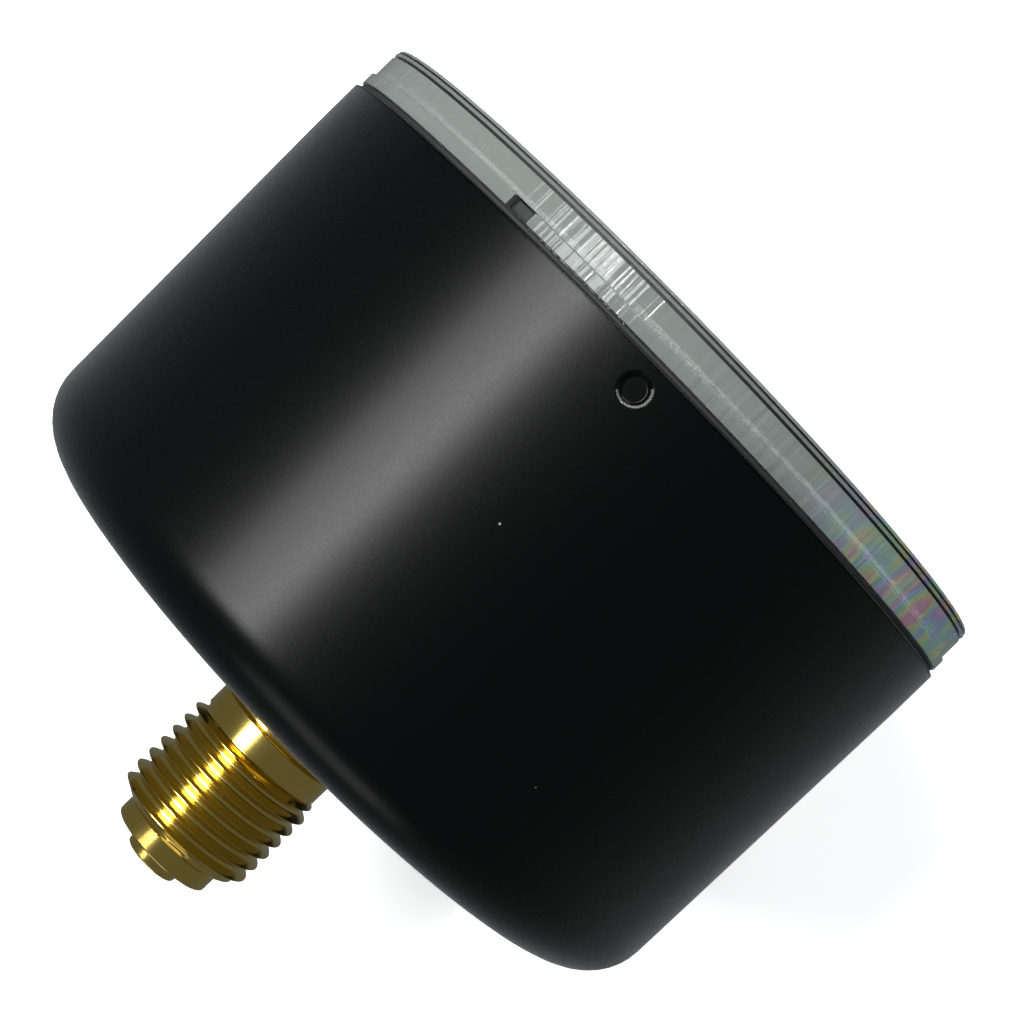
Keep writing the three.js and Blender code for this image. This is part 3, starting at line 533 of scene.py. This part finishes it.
# Faces in the two grooves take the painted recess shade; the other faces of the rim take the rim finish.
for polygon in window_piece.data.polygons:
    radius = math.hypot(polygon.center.x, polygon.center.z) / MM
    height = polygon.center.y / MM - FRONT_Y
    in_groove = any(near - 0.01 < height < far + 0.01 for near, far in GROOVES)
    if in_groove and radius > BAND_R - 0.5:
        polygon.material_index = 2
    elif radius > SKIRT_R - 2.6 and polygon.material_index == 0:
        polygon.material_index = 1
seal = spun(rounded([(SKIRT_R + 0.1, RIM_Y - 0.35, 0.1), (CASE_R - 0.4, RIM_Y - 0.35, 0.1),
                     (CASE_R - 0.4, RIM_Y, 0.1), (SKIRT_R + 0.1, RIM_Y, 0.1)], closed=True, steps=3),
            192, closed=True)
into_scene(seal, "seal_ring", "housing", "window_seal", BLACK_RUBBER)

# %% [markdown]
# ## The stem
# The stem is one brass bar, turned and threaded. The thread is a single V that climbs one pitch in each
# turn. Spinning the section of one pitch, with a rise at every step, draws exactly that, and the last
# row of one turn lands on the first row of the next, so merging them gives one unbroken surface. The
# threaded tube is then cut square at both ends and turned down to a cone, as a lathe would do it, and
# the plain parts grow out of its two open ends ring by ring.

# %% Thread
PITCH = 1.337
MAJOR_R = 6.55
ROOT_R = MAJOR_R - 0.82
THREAD_FOOT_Y = -11.5
THREAD_TOP_Y = -1.7
STEP_R = 4.75
TURN_STEPS = 96
FLANK = [(0.0, 0.0), (0.12, 0.03), (0.20, 0.13), (0.27, 0.32), (0.45, 0.94), (0.48, 1.0), (0.52, 1.0),
         (0.55, 0.94), (0.73, 0.32), (0.80, 0.13), (0.88, 0.03), (1.0, 0.0)]


def thread_tube():
    """The thread as an open tube, longer than needed at both ends."""
    turns = math.ceil((THREAD_TOP_Y - THREAD_FOOT_Y) / PITCH) + 3
    start = THREAD_FOOT_Y - 2 * PITCH
    bm = bmesh.new()
    radii = [ROOT_R + (MAJOR_R - ROOT_R) * height for _, height in FLANK]
    verts = [bm.verts.new((0, (start + share * PITCH) * MM, radius * MM))
             for (share, _), radius in zip(FLANK, radii)]
    edges = [bm.edges.new(pair) for pair in zip(verts, verts[1:])]
    bmesh.ops.spin(bm, geom=verts + edges, cent=(0, 0, 0), axis=(0, 1, 0),
                   dvec=(0, PITCH / TURN_STEPS * MM, 0), angle=2 * math.pi * turns,
                   steps=TURN_STEPS * turns, use_merge=False)
    bmesh.ops.remove_doubles(bm, verts=bm.verts, dist=0.002 * MM)
    return bm


stem = thread_tube()
handed = max(stem.verts, key=lambda v: v.co.y).co
print("thread:", len(stem.faces), "faces, top point at", tuple(round(c / MM, 2) for c in handed))

# %% Turning the thread down at its ends
def allowed_radius(y):
    """The lathe's cone at each end of the thread: nothing may stand outside it."""
    from_foot = y - THREAD_FOOT_Y
    from_top = THREAD_TOP_Y - y
    at_foot = ROOT_R + from_foot * 1.2
    at_top = STEP_R + 0.25 + from_top * 1.62
    return min(at_foot, at_top)


for cut_y, keep in ((THREAD_FOOT_Y, -1), (THREAD_TOP_Y, 1)):
    bmesh.ops.bisect_plane(stem, geom=stem.verts[:] + stem.edges[:] + stem.faces[:],
                           plane_co=(0, cut_y * MM, 0), plane_no=(0, keep, 0), clear_outer=True,
                           dist=0.0005 * MM)
for vert in stem.verts:
    radius = math.hypot(vert.co.x, vert.co.z) / MM
    limit = max(allowed_radius(vert.co.y / MM), min(ROOT_R, STEP_R + 0.25))
    if radius > limit:
        vert.co.x *= limit / radius
        vert.co.z *= limit / radius
print("trimmed thread:", len(stem.faces), "faces")

# %% Growing the plain parts
def open_end(bm, y):
    """The edges of the open end that lies at a height y."""
    return [e for e in bm.edges if e.is_boundary and all(abs(v.co.y / MM - y) < 0.02 for v in e.verts)]


def grow(bm, y, section):
    """Adds one ring of faces for each (radius, y) point, starting from the open end at y."""
    rim = open_end(bm, y)
    for radius, height in section:
        grown = bmesh.ops.extrude_edge_only(bm, edges=rim)["geom"]
        for vert in (g for g in grown if isinstance(g, bmesh.types.BMVert)):
            around = math.atan2(vert.co.x, vert.co.z)
            vert.co = Vector((radius * math.sin(around), height, radius * math.cos(around))) * MM
        rim = [g for g in grown if isinstance(g, bmesh.types.BMEdge)]


COLLAR_R = 5.95
COLLAR_END_Y = -13.7
NECK_R = 5.3
WRENCH_R = 8.2
WRENCH_HALF = 7.0
WRENCH_END_Y = -14.5
FLANGE_R = 14.6
PIN_R = 2.5
PIN_LENGTH = 1.3
BORE_R = 1.4
BORE_STEP_Y = -8.0
DUCT_R = 0.9
DUCT_END_Y = -21.5
FLANGE_BACK = BACK_Y - WALL - 0.6
outer_end = rounded([
    (STEP_R + 0.25, THREAD_TOP_Y), (STEP_R, THREAD_TOP_Y, 0.03), (STEP_R, 0, 0.18),
    (PIN_R, 0, 0.08), (PIN_R, PIN_LENGTH, 0.2), (BORE_R, PIN_LENGTH, 0.12), (BORE_R, BORE_STEP_Y),
    (DUCT_R, BORE_STEP_Y - 0.5), (DUCT_R, DUCT_END_Y), (0.001, DUCT_END_Y),
], steps=4)
inner_end = rounded([
    (ROOT_R, THREAD_FOOT_Y), (COLLAR_R, THREAD_FOOT_Y - 0.02, 0.05), (COLLAR_R, COLLAR_END_Y, 0.16),
    (NECK_R, COLLAR_END_Y, 0.1), (NECK_R, WRENCH_END_Y, 0.15), (WRENCH_R - 0.9, WRENCH_END_Y, 0.05),
    (WRENCH_R, WRENCH_END_Y - 0.35), (WRENCH_R, FLANGE_BACK + 0.02), (WRENCH_R, FLANGE_BACK),
    (FLANGE_R, FLANGE_BACK, 0.2), (FLANGE_R, FLANGE_BACK - 3, 0.2), (0.001, FLANGE_BACK - 3),
], steps=4)
grow(stem, THREAD_TOP_Y, outer_end[1:])
grow(stem, THREAD_FOOT_Y, inner_end[1:])
bmesh.ops.remove_doubles(stem, verts=stem.verts, dist=0.003 * MM)
for vert in stem.verts:
    if FLANGE_BACK + 0.01 < vert.co.y / MM < WRENCH_END_Y + 0.01:
        vert.co.x = max(-WRENCH_HALF * MM, min(WRENCH_HALF * MM, vert.co.x))
        vert.co.z = max(-WRENCH_HALF * MM, min(WRENCH_HALF * MM, vert.co.z))
print("stem:", len(stem.faces), "faces, open edges:", sum(e.is_boundary for e in stem.edges))

# %% [markdown]
# Inside the case the stem ends in a block: a seat for the movement and a foot that holds the root of the
# Bourdon tube. Both are plain milled blocks with broken edges, so each starts as a cube, is scaled to
# size and gets a small bevel.

# %% Socket blocks
def block(bm, low, high, edge):
    """A bevelled block between two corners, in millimetres, added to a bmesh."""
    size = Vector(high) - Vector(low)
    centre = (Vector(high) + Vector(low)) / 2
    place = Matrix.Translation(centre * MM) @ Matrix.Diagonal((*(size * MM), 1))
    made = bmesh.ops.create_cube(bm, size=1, matrix=place)["verts"]
    edges = list({e for v in made for e in v.link_edges})
    bmesh.ops.bevel(bm, geom=edges, offset=edge * MM, offset_type="OFFSET", segments=3, profile=0.5,
                    affect="EDGES", material=-1, clamp_overlap=True)


FOOT_FRONT_Y = -41.6
SEAT_FRONT_Y = -34.0
block(stem, (-7, SEAT_FRONT_Y, -15.5), (7, FLANGE_BACK - 2.8, 9), 0.35)
block(stem, (-4.99, SEAT_FRONT_Y + 0.01, -18.9), (2.99, FLANGE_BACK - 2.7, -14.5), 0.3)
block(stem, (-3.6, FOOT_FRONT_Y, -26), (3, FLANGE_BACK - 2.6, -17.9), 0.35)
bmesh.ops.recalc_face_normals(stem, faces=stem.faces)
into_scene(stem, "stem_body", "housing", "stem", TURNED_BRASS, sharp=35)

# %% [markdown]
# ## Screws
# Every screw here is a turned pan head with a straight slot, so one helper makes them all. The outline is
# spun, then the slot is milled: two cuts along its sides and one at its floor split the faces, the faces
# between them are taken out, and two walls and a floor close the gap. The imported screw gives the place,
# the head's radius and the length, so only the head's height and the shank are said here.

# %% Screw helpers
def mill_slot(bm, turn, width, floor_y):
    """Cuts a straight slot through a spun head that lies about the Y axis, with its top at high y."""
    across = Vector((math.cos(turn), 0, math.sin(turn)))
    half = width / 2 * MM
    close = 1e-7
    planes = ((across * half, across), (across * -half, across), (Vector((0, floor_y * MM, 0)), (0, 1, 0)))
    for middle, normal in planes:
        bmesh.ops.bisect_plane(bm, geom=bm.verts[:] + bm.edges[:] + bm.faces[:],
                               plane_co=middle, plane_no=normal, dist=close)
    waste = [f for f in bm.faces if abs(f.calc_center_median().dot(across)) < half * 0.999
             and f.calc_center_median().y > floor_y * MM + close]
    bmesh.ops.delete(bm, geom=waste, context="FACES")
    rim = [e for e in bm.edges if e.is_boundary]
    floor_edges = []
    for side in (-1, 1):
        wall = [e for e in rim if all(abs(v.co.dot(across) - side * half) < close * 5 for v in e.verts)]
        ends = {v for e in wall for v in e.verts if abs(v.co.y - floor_y * MM) < close * 5}
        floor_edges.append(bm.edges.new(list(ends)))
        bmesh.ops.contextual_create(bm, geom=wall + floor_edges[-1:])
    around = [e for e in rim if all(abs(v.co.y - floor_y * MM) < close * 5 for v in e.verts)]
    bmesh.ops.contextual_create(bm, geom=around + floor_edges)


def screw(node, body, head_height, shank_radius, towards=-1, turn=0.5, slot_width=0.4):
    """A slotted screw in the place of a packed one; towards is the way along Y that its head points."""
    low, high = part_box(node)
    centre = (low + high) / 2
    head_radius = (high.x - low.x) / 2 / MM
    whole = (high.y - low.y) / MM
    shank_end = head_height - whole
    outline = rounded([
        (0, shank_end), (shank_radius, shank_end, 0.12), (shank_radius, 0), (head_radius, 0, 0.08),
        (head_radius, head_height * 0.62, head_radius * 0.16), (head_radius * 0.7, head_height, 0.3),
        (0, head_height),
    ], steps=4)
    bm = spun(outline, 64)
    mill_slot(bm, turn, slot_width, head_height * 0.5)
    seat_y = (high.y - head_height * MM) if towards > 0 else (low.y + head_height * MM)
    for vert in bm.verts:
        vert.co = Vector((centre.x + vert.co.x, seat_y + towards * vert.co.y, centre.z + vert.co.z))
    bmesh.ops.recalc_face_normals(bm, faces=bm.faces)
    return into_scene(bm, node + "_turned", body, node, STEEL)


# %% Screws that hold the case on the stem, the dial and the movement
screw("case_screw_left", "housing", 1.6, 1.3, towards=1, turn=0.35, slot_width=0.7)
screw("case_screw_right", "housing", 1.6, 1.3, towards=1, turn=1.9, slot_width=0.7)
screw("dial_screw_left", "housing", 0.9, 0.9, turn=0.9)
screw("dial_screw_right", "housing", 0.9, 0.9, turn=2.3)
screw("plate_screw_left", "housing", 0.8, 0.7, turn=0.2)
screw("plate_screw_right", "housing", 0.8, 0.7, turn=1.4)
screw("movement_screw_upper", "housing", 1.0, 0.9, turn=2.0)
screw("movement_screw_lower", "housing", 1.0, 0.9, turn=0.7)
screw("tip_screw", "tube_end", 0.8, 0.6, turn=1.1, slot_width=0.3)
screw("tail_screw", "sector", 0.8, 0.6, turn=2.6, slot_width=0.3)

# %% [markdown]
# ## The dial
# The dial is a disc of painted sheet, held by two screws on pillars from the movement. Its scale covers
# 270 degrees, from zero at the lower left round to full pressure at the lower right. The print is made as
# real, very thin ink: flat marks that stand two hundredths of a millimetre proud. One mark is a small
# block, and a loop turns it round the dial.

# %% Dial plate
dial_low, dial_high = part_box("dial")
DIAL_R = dial_high.x / MM
DIAL_FRONT_Y = dial_low.y / MM
DIAL_BACK_Y = dial_high.y / MM
SCALE_START = math.radians(-135)
SCALE_SWEEP = math.radians(270)
SCALE_STEPS = 50
INK = 0.02

dial_corners = [(1.5, DIAL_BACK_Y), (DIAL_R, DIAL_BACK_Y, 0.1),
                (DIAL_R, DIAL_FRONT_Y, 0.12), (1.5, DIAL_FRONT_Y)]
dial = spun(rounded(dial_corners, closed=True, steps=3), 192, closed=True)
into_scene(dial, "dial_plate", "housing", "dial", WHITE_ENAMEL)


# %% Scale marks
def clock(angle):
    """The turn about Y that carries 12 o'clock to an angle, clockwise as seen from the front."""
    return Matrix.Rotation(angle, 4, "Y")


def scale_marks():
    bm = bmesh.new()
    for step in range(SCALE_STEPS + 1):
        if step % 5 == 0:
            inner, width = 22.6, 0.75
        else:
            inner, width = 24.6, 0.32
        made = bmesh.new()
        block(made, (-width / 2, DIAL_FRONT_Y - INK, inner), (width / 2, DIAL_FRONT_Y + INK, 26.6), 0.008)
        turn = clock(SCALE_START + SCALE_SWEEP * step / SCALE_STEPS)
        bmesh.ops.transform(made, matrix=turn, verts=made.verts)
        mark = bpy.data.meshes.new("mark")
        made.to_mesh(mark)
        made.free()
        bm.from_mesh(mark)
        bpy.data.meshes.remove(mark)
    return bm


def scale_arc(radius, width):
    """A printed line along the scale: one small section, spun through the sweep and closed at its ends."""
    bm = bmesh.new()
    near, far = radius - width / 2, radius + width / 2
    section = [(near, -INK), (far, -INK), (far, INK), (near, INK)]
    verts = [bm.verts.new((0, (DIAL_FRONT_Y + lift) * MM, reach * MM)) for reach, lift in section]
    start = bm.faces.new(verts)
    bmesh.ops.rotate(bm, verts=verts, cent=(0, 0, 0), matrix=Matrix.Rotation(SCALE_START, 3, "Y"))
    bmesh.ops.spin(bm, geom=[start], cent=(0, 0, 0), axis=(0, 1, 0), dvec=(0, 0, 0), angle=SCALE_SWEEP,
                   steps=120, use_duplicate=False)
    bmesh.ops.recalc_face_normals(bm, faces=bm.faces)
    return bm


into_scene(scale_marks(), "scale_marks", "housing", material=PRINT_INK)
into_scene(scale_arc(26.7, 0.28), "scale_arc", "housing", material=PRINT_INK)

# %% [markdown]
# The figures are plain numbers and the name of the unit. Text is a curve object at first. It is turned
# into a mesh before it is put in place, so its place is in its points, as with every other piece.

# %% Figures
def printed(words, size, x, z, name):
    """Flat text on the dial, centred at x and z in millimetres."""
    curve = bpy.data.curves.new(name, "FONT")
    curve.body = words
    curve.size = size * MM
    curve.extrude = INK * MM
    curve.align_x = "CENTER"
    curve.align_y = "CENTER"
    curve.resolution_u = 6
    holder = bpy.data.objects.new(name + "_curve", curve)
    scene.collection.objects.link(holder)
    bpy.context.view_layer.update()
    mesh = bpy.data.meshes.new_from_object(holder.evaluated_get(bpy.context.evaluated_depsgraph_get()))
    bpy.data.objects.remove(holder)
    bm = bmesh.new()
    bm.from_mesh(mesh)
    bpy.data.meshes.remove(mesh)
    bmesh.ops.remove_doubles(bm, verts=bm.verts, dist=0.0005 * MM)
    place = Matrix.Translation(Vector((x, DIAL_FRONT_Y, z)) * MM) @ Matrix.Rotation(math.radians(90), 4, "X")
    bmesh.ops.transform(bm, matrix=place, verts=bm.verts)
    bmesh.ops.recalc_face_normals(bm, faces=bm.faces)
    return into_scene(bm, name, "housing", material=PRINT_INK)


for figure in range(0, 11, 2):
    beside_pointer = {0: 0.17, 10: -0.17}.get(figure, 0.0)
    turn = SCALE_START + SCALE_SWEEP * figure / 10 + beside_pointer
    printed(str(figure), 5.0, 18.9 * math.sin(turn), 18.9 * math.cos(turn), f"figure_{figure}")
printed("bar", 3.6, 0, -10.2, "unit_name")

# %% [markdown]
# ## The pointer
# The pointer is a thin black blade, stamped from sheet, with a round boss and a short wide tail that
# balances it. Each straight part is the hull of two discs, so it is drawn as that: circles at both
# heights and a convex hull round them. The boss carries a small turned brass hub that is pressed on the
# arbor. The stop pin holds the blade at zero.

# %% Blade
def strap(bm, discs, back_y, thickness, edge):
    """A flat strip round discs given as (x, z, radius), with its long edges broken."""
    made = bmesh.new()
    flat = Matrix.Rotation(math.radians(90), 4, "X")
    for x, z, radius in discs:
        for y in (back_y, back_y - thickness):
            place = Matrix.Translation(Vector((x, y, z)) * MM) @ flat
            bmesh.ops.create_circle(made, segments=40, radius=radius * MM, matrix=place)
    hull = bmesh.ops.convex_hull(made, input=made.verts)
    loose = [g for g in hull["geom_interior"] + hull["geom_unused"] if isinstance(g, bmesh.types.BMVert)]
    bmesh.ops.delete(made, geom=list(set(loose)), context="VERTS")
    bmesh.ops.dissolve_limit(made, angle_limit=math.radians(1), verts=made.verts, edges=made.edges)
    flats = [f for f in made.faces if abs(f.normal.y) > 0.9]
    edges = list({e for f in flats for e in f.edges})
    bmesh.ops.bevel(made, geom=edges, offset=edge * MM, offset_type="OFFSET", segments=2, profile=0.5,
                    affect="EDGES", material=-1, clamp_overlap=True)
    mesh = bpy.data.meshes.new("strap")
    made.to_mesh(mesh)
    made.free()
    bm.from_mesh(mesh)
    bpy.data.meshes.remove(mesh)


pointer_low, pointer_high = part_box("pointer")
POINTER_BACK_Y = pointer_high.y / MM
POINTER_THICKNESS = (pointer_high.y - pointer_low.y) / MM
POINTER_LENGTH = 24.3
blade = bmesh.new()
strap(blade, [(0, 0, 1.1), (0, POINTER_LENGTH - 0.2, 0.2)], POINTER_BACK_Y, POINTER_THICKNESS, 0.05)
strap(blade, [(0, 0, 1.0), (0, -8.4, 1.5)], POINTER_BACK_Y - 0.01, POINTER_THICKNESS - 0.02, 0.05)
boss = rounded([(1.42, POINTER_BACK_Y + 0.01), (2.7, POINTER_BACK_Y + 0.01, 0.06),
                (2.7, POINTER_BACK_Y - POINTER_THICKNESS - 0.03, 0.08),
                (1.42, POINTER_BACK_Y - POINTER_THICKNESS - 0.03)], closed=True, steps=3)
boss_mesh = bpy.data.meshes.new("boss")
boss_bm = spun(boss, 72, closed=True)
boss_bm.to_mesh(boss_mesh)
boss_bm.free()
blade.from_mesh(boss_mesh)
bpy.data.meshes.remove(boss_mesh)
bmesh.ops.transform(blade, matrix=clock(SCALE_START), verts=blade.verts)
into_scene(blade, "pointer_blade", "pointer", "pointer", BLACK_ENAMEL)

# %% Hub and stop pin
hub_low, hub_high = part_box("pointer_hub")
HUB_TOP = hub_low.y / MM
HUB_FOOT = hub_high.y / MM
hub_seat_y = POINTER_BACK_Y + 0.05
hub_corners = [(0.68, HUB_FOOT), (2.1, HUB_FOOT, 0.1), (2.1, hub_seat_y, 0.05), (1.3, hub_seat_y),
               (1.3, HUB_TOP, 0.2), (0.68, HUB_TOP, 0.06)]
hub = spun(rounded(hub_corners, closed=True, steps=4), 72, closed=True)
into_scene(hub, "pointer_hub_turned", "pointer", "pointer_hub", TURNED_BRASS)

pin_low, pin_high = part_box("stop_pin")
pin_radius = (pin_high.x - pin_low.x) / 2 / MM
pin = spun(rounded([(0, pin_high.y / MM), (pin_radius, pin_high.y / MM), (pin_radius, pin_low.y / MM, 0.15),
                    (0, pin_low.y / MM)], steps=4), 32)
pin_spot = (pin_low + pin_high) / 2
bmesh.ops.translate(pin, verts=pin.verts, vec=(pin_spot.x, 0, pin_spot.z))
into_scene(pin, "stop_pin_turned", "housing", "stop_pin", STEEL)

# %% [markdown]
# ## The Bourdon tube
# This is what makes the gauge work: a flat oval tube, bent into most of a circle. Pressure tries to round
# its section, so the curve opens and the tip moves out by about three millimetres. It is one oval
# section, spun through 270 degrees and closed at both ends. It has to bend between the fixed socket and
# the moving tip, but here it is put on no body and is not blended between them.

# %% Bourdon tube
TUBE_R = 21.5
TUBE_MID_Y = -36.0
TUBE_WIDTH = 10.0
TUBE_THICKNESS = 3.2
TUBE_ROOT = math.radians(-102)
TUBE_SWEEP = math.radians(-270)


def oval_section(bm, steps=10):
    """The flat oval of the tube in the plane z = 0, at its radius on the X axis."""
    half = (TUBE_WIDTH - TUBE_THICKNESS) / 2
    points = []
    for end in (1, -1):
        for step in range(steps + 1):
            turn = math.pi * step / steps - math.pi / 2
            points.append((TUBE_R + end * -TUBE_THICKNESS / 2 * math.sin(turn),
                           TUBE_MID_Y + end * (half + TUBE_THICKNESS / 2 * math.cos(turn))))
    return [bm.verts.new((x * MM, y * MM, 0)) for x, y in points]


tube = bmesh.new()
section_verts = oval_section(tube)
section_face = tube.faces.new(section_verts)
# A turn about Y by a positive angle carries X towards minus Z, so plan angles change their sign.
bmesh.ops.rotate(tube, verts=section_verts, cent=(0, 0, 0), matrix=Matrix.Rotation(-TUBE_ROOT, 3, "Y"))
bmesh.ops.spin(tube, geom=[section_face], cent=(0, 0, 0), axis=(0, 1, 0), dvec=(0, 0, 0), angle=-TUBE_SWEEP,
               steps=140, use_duplicate=False)
bmesh.ops.recalc_face_normals(tube, faces=tube.faces)
tube_mesh = bpy.data.meshes.new("bourdon_tube_drawn")
tube.to_mesh(tube_mesh)
tube.free()
tube_mesh.shade_smooth()
tube_mesh.set_sharp_from_angle(angle=math.radians(40))
tube_mesh.materials.append(TUBE_BRONZE)
tube_piece = bpy.data.objects.new("bourdon_tube_drawn", tube_mesh)
scene.collection.objects.link(tube_piece)
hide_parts("bourdon_tube")
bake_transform(tube_piece)
print("bourdon tube:", len(tube_mesh.polygons), "faces")

# %% [markdown]
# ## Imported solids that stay
# The movement's plates, arbors, gears and link have the right shape already and sit in the dark behind
# the dial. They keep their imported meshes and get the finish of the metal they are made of.

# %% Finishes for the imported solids
FINISHES = {
    "black_paint": BLACK_PAINT, "clear_plastic": CLEAR_PLASTIC, "black_rubber": BLACK_RUBBER,
    "turned_brass": TURNED_BRASS, "sheet_brass": SHEET_BRASS, "tube_bronze": TUBE_BRONZE,
    "spring_bronze": SPRING_BRONZE, "steel": STEEL, "white_enamel": WHITE_ENAMEL,
    "black_enamel": BLACK_ENAMEL,
}
kept = []
for part in frame["record"]["subparts"]:
    solid = frame["nodes"][part["node"]]
    if solid.hide_render:
        continue
    for place in solid.material_slots:
        place.material = FINISHES[part["material_slot"]]
    kept.append(part["node"])
print("packed solids kept:", kept)

# %% [markdown]
# ## Floor and light
# A large pale sheet lies under the gauge, which rests on the side of its case. One long soft lamp stands to
# one side and draws the broad highlight along the case. A narrow tube beside it draws the thin bright line
# down the stem. A lamp in front, a dim one behind and an even surround fill the rest. The paper glows a
# little, as on a light table, so it stays pale, and it is kept out of reflections, so that black paint
# stays black next to it.

# %% Floor
floor_bm = bmesh.new()
bmesh.ops.create_grid(floor_bm, x_segments=4, y_segments=4, size=1.6,
                      matrix=Matrix.Translation((0, 0, case_low.z - 0.00002)))
floor_mesh = bpy.data.meshes.new("floor")
floor_bm.to_mesh(floor_mesh)
floor_bm.free()
floor = bpy.data.objects.new("floor", floor_mesh)
scene.collection.objects.link(floor)
FLOOR_FINISH, floor_tree, floor_shader = finish("floor_paper", (0.92, 0.92, 0.92), 0.9)
paper = object_noise(floor_tree, 30, 2.0)
floor_tree.links.new(ramp(floor_tree, paper.outputs["Fac"], 0.3, 0.7, 0.86, 0.94),
                     floor_shader.inputs["Roughness"])
floor_shader.inputs["Emission Color"].default_value = (1, 1, 1, 1)
floor_shader.inputs["Emission Strength"].default_value = 0.45
floor_mesh.materials.append(FLOOR_FINISH)
floor.visible_glossy = False
print("floor at", round(case_low.z, 4))


# %% Lamps
def lamp(name, direction, distance, size_x, size_y, watts, colour=(1, 1, 1)):
    """A rectangular soft lamp that looks at the middle of the gauge; its long side runs along Y."""
    data = bpy.data.lights.new(name, "AREA")
    data.shape = "RECTANGLE"
    data.size = size_x
    data.size_y = size_y
    data.energy = watts
    data.color = colour
    made = bpy.data.objects.new(name, data)
    aim = Vector((0, -0.03, 0))
    way = Vector(direction).normalized()
    made.location = aim + way * distance
    side = Vector((0, 1, 0)).cross(way).normalized()
    up = way.cross(side)
    made.rotation_euler = Matrix((side, up, way)).transposed().to_euler()
    scene.collection.objects.link(made)
    return made


KEY_TILT = math.radians(33)
TUBE_TILT = math.radians(27)
lamp("key", (math.sin(KEY_TILT), 0.0, math.cos(KEY_TILT)), 0.7, 0.26, 0.60, 6.0)
lamp("tube", (math.sin(TUBE_TILT), 0.0, math.cos(TUBE_TILT)), 0.68, 0.012, 0.60, 2.2)
lamp("front", (0.1, -0.9, 0.4), 0.9, 0.6, 0.4, 8.0)
lamp("rear", (-0.1, 0.9, 0.3), 0.9, 0.6, 0.3, 1.0)
world = bpy.data.worlds.new("surround")
world.use_nodes = True
tree = world.node_tree
backdrop = tree.nodes.new("ShaderNodeBackground")
backdrop.inputs["Color"].default_value = (0.9, 0.9, 0.9, 1)
surround = tree.nodes["Background"]
surround.inputs["Color"].default_value = (0.9, 0.95, 1.0, 1)
surround.inputs["Strength"].default_value = 0.16
ray = add_node(tree, "ShaderNodeLightPath")
choice = tree.nodes.new("ShaderNodeMixShader")
tree.links.new(ray.outputs["Is Camera Ray"], choice.inputs[0])
tree.links.new(surround.outputs["Background"], choice.inputs[1])
tree.links.new(backdrop.outputs["Background"], choice.inputs[2])
tree.links.new(choice.outputs["Shader"], tree.nodes["World Output"].inputs["Surface"])
scene.world = world
scene.view_settings.view_transform = "Standard"
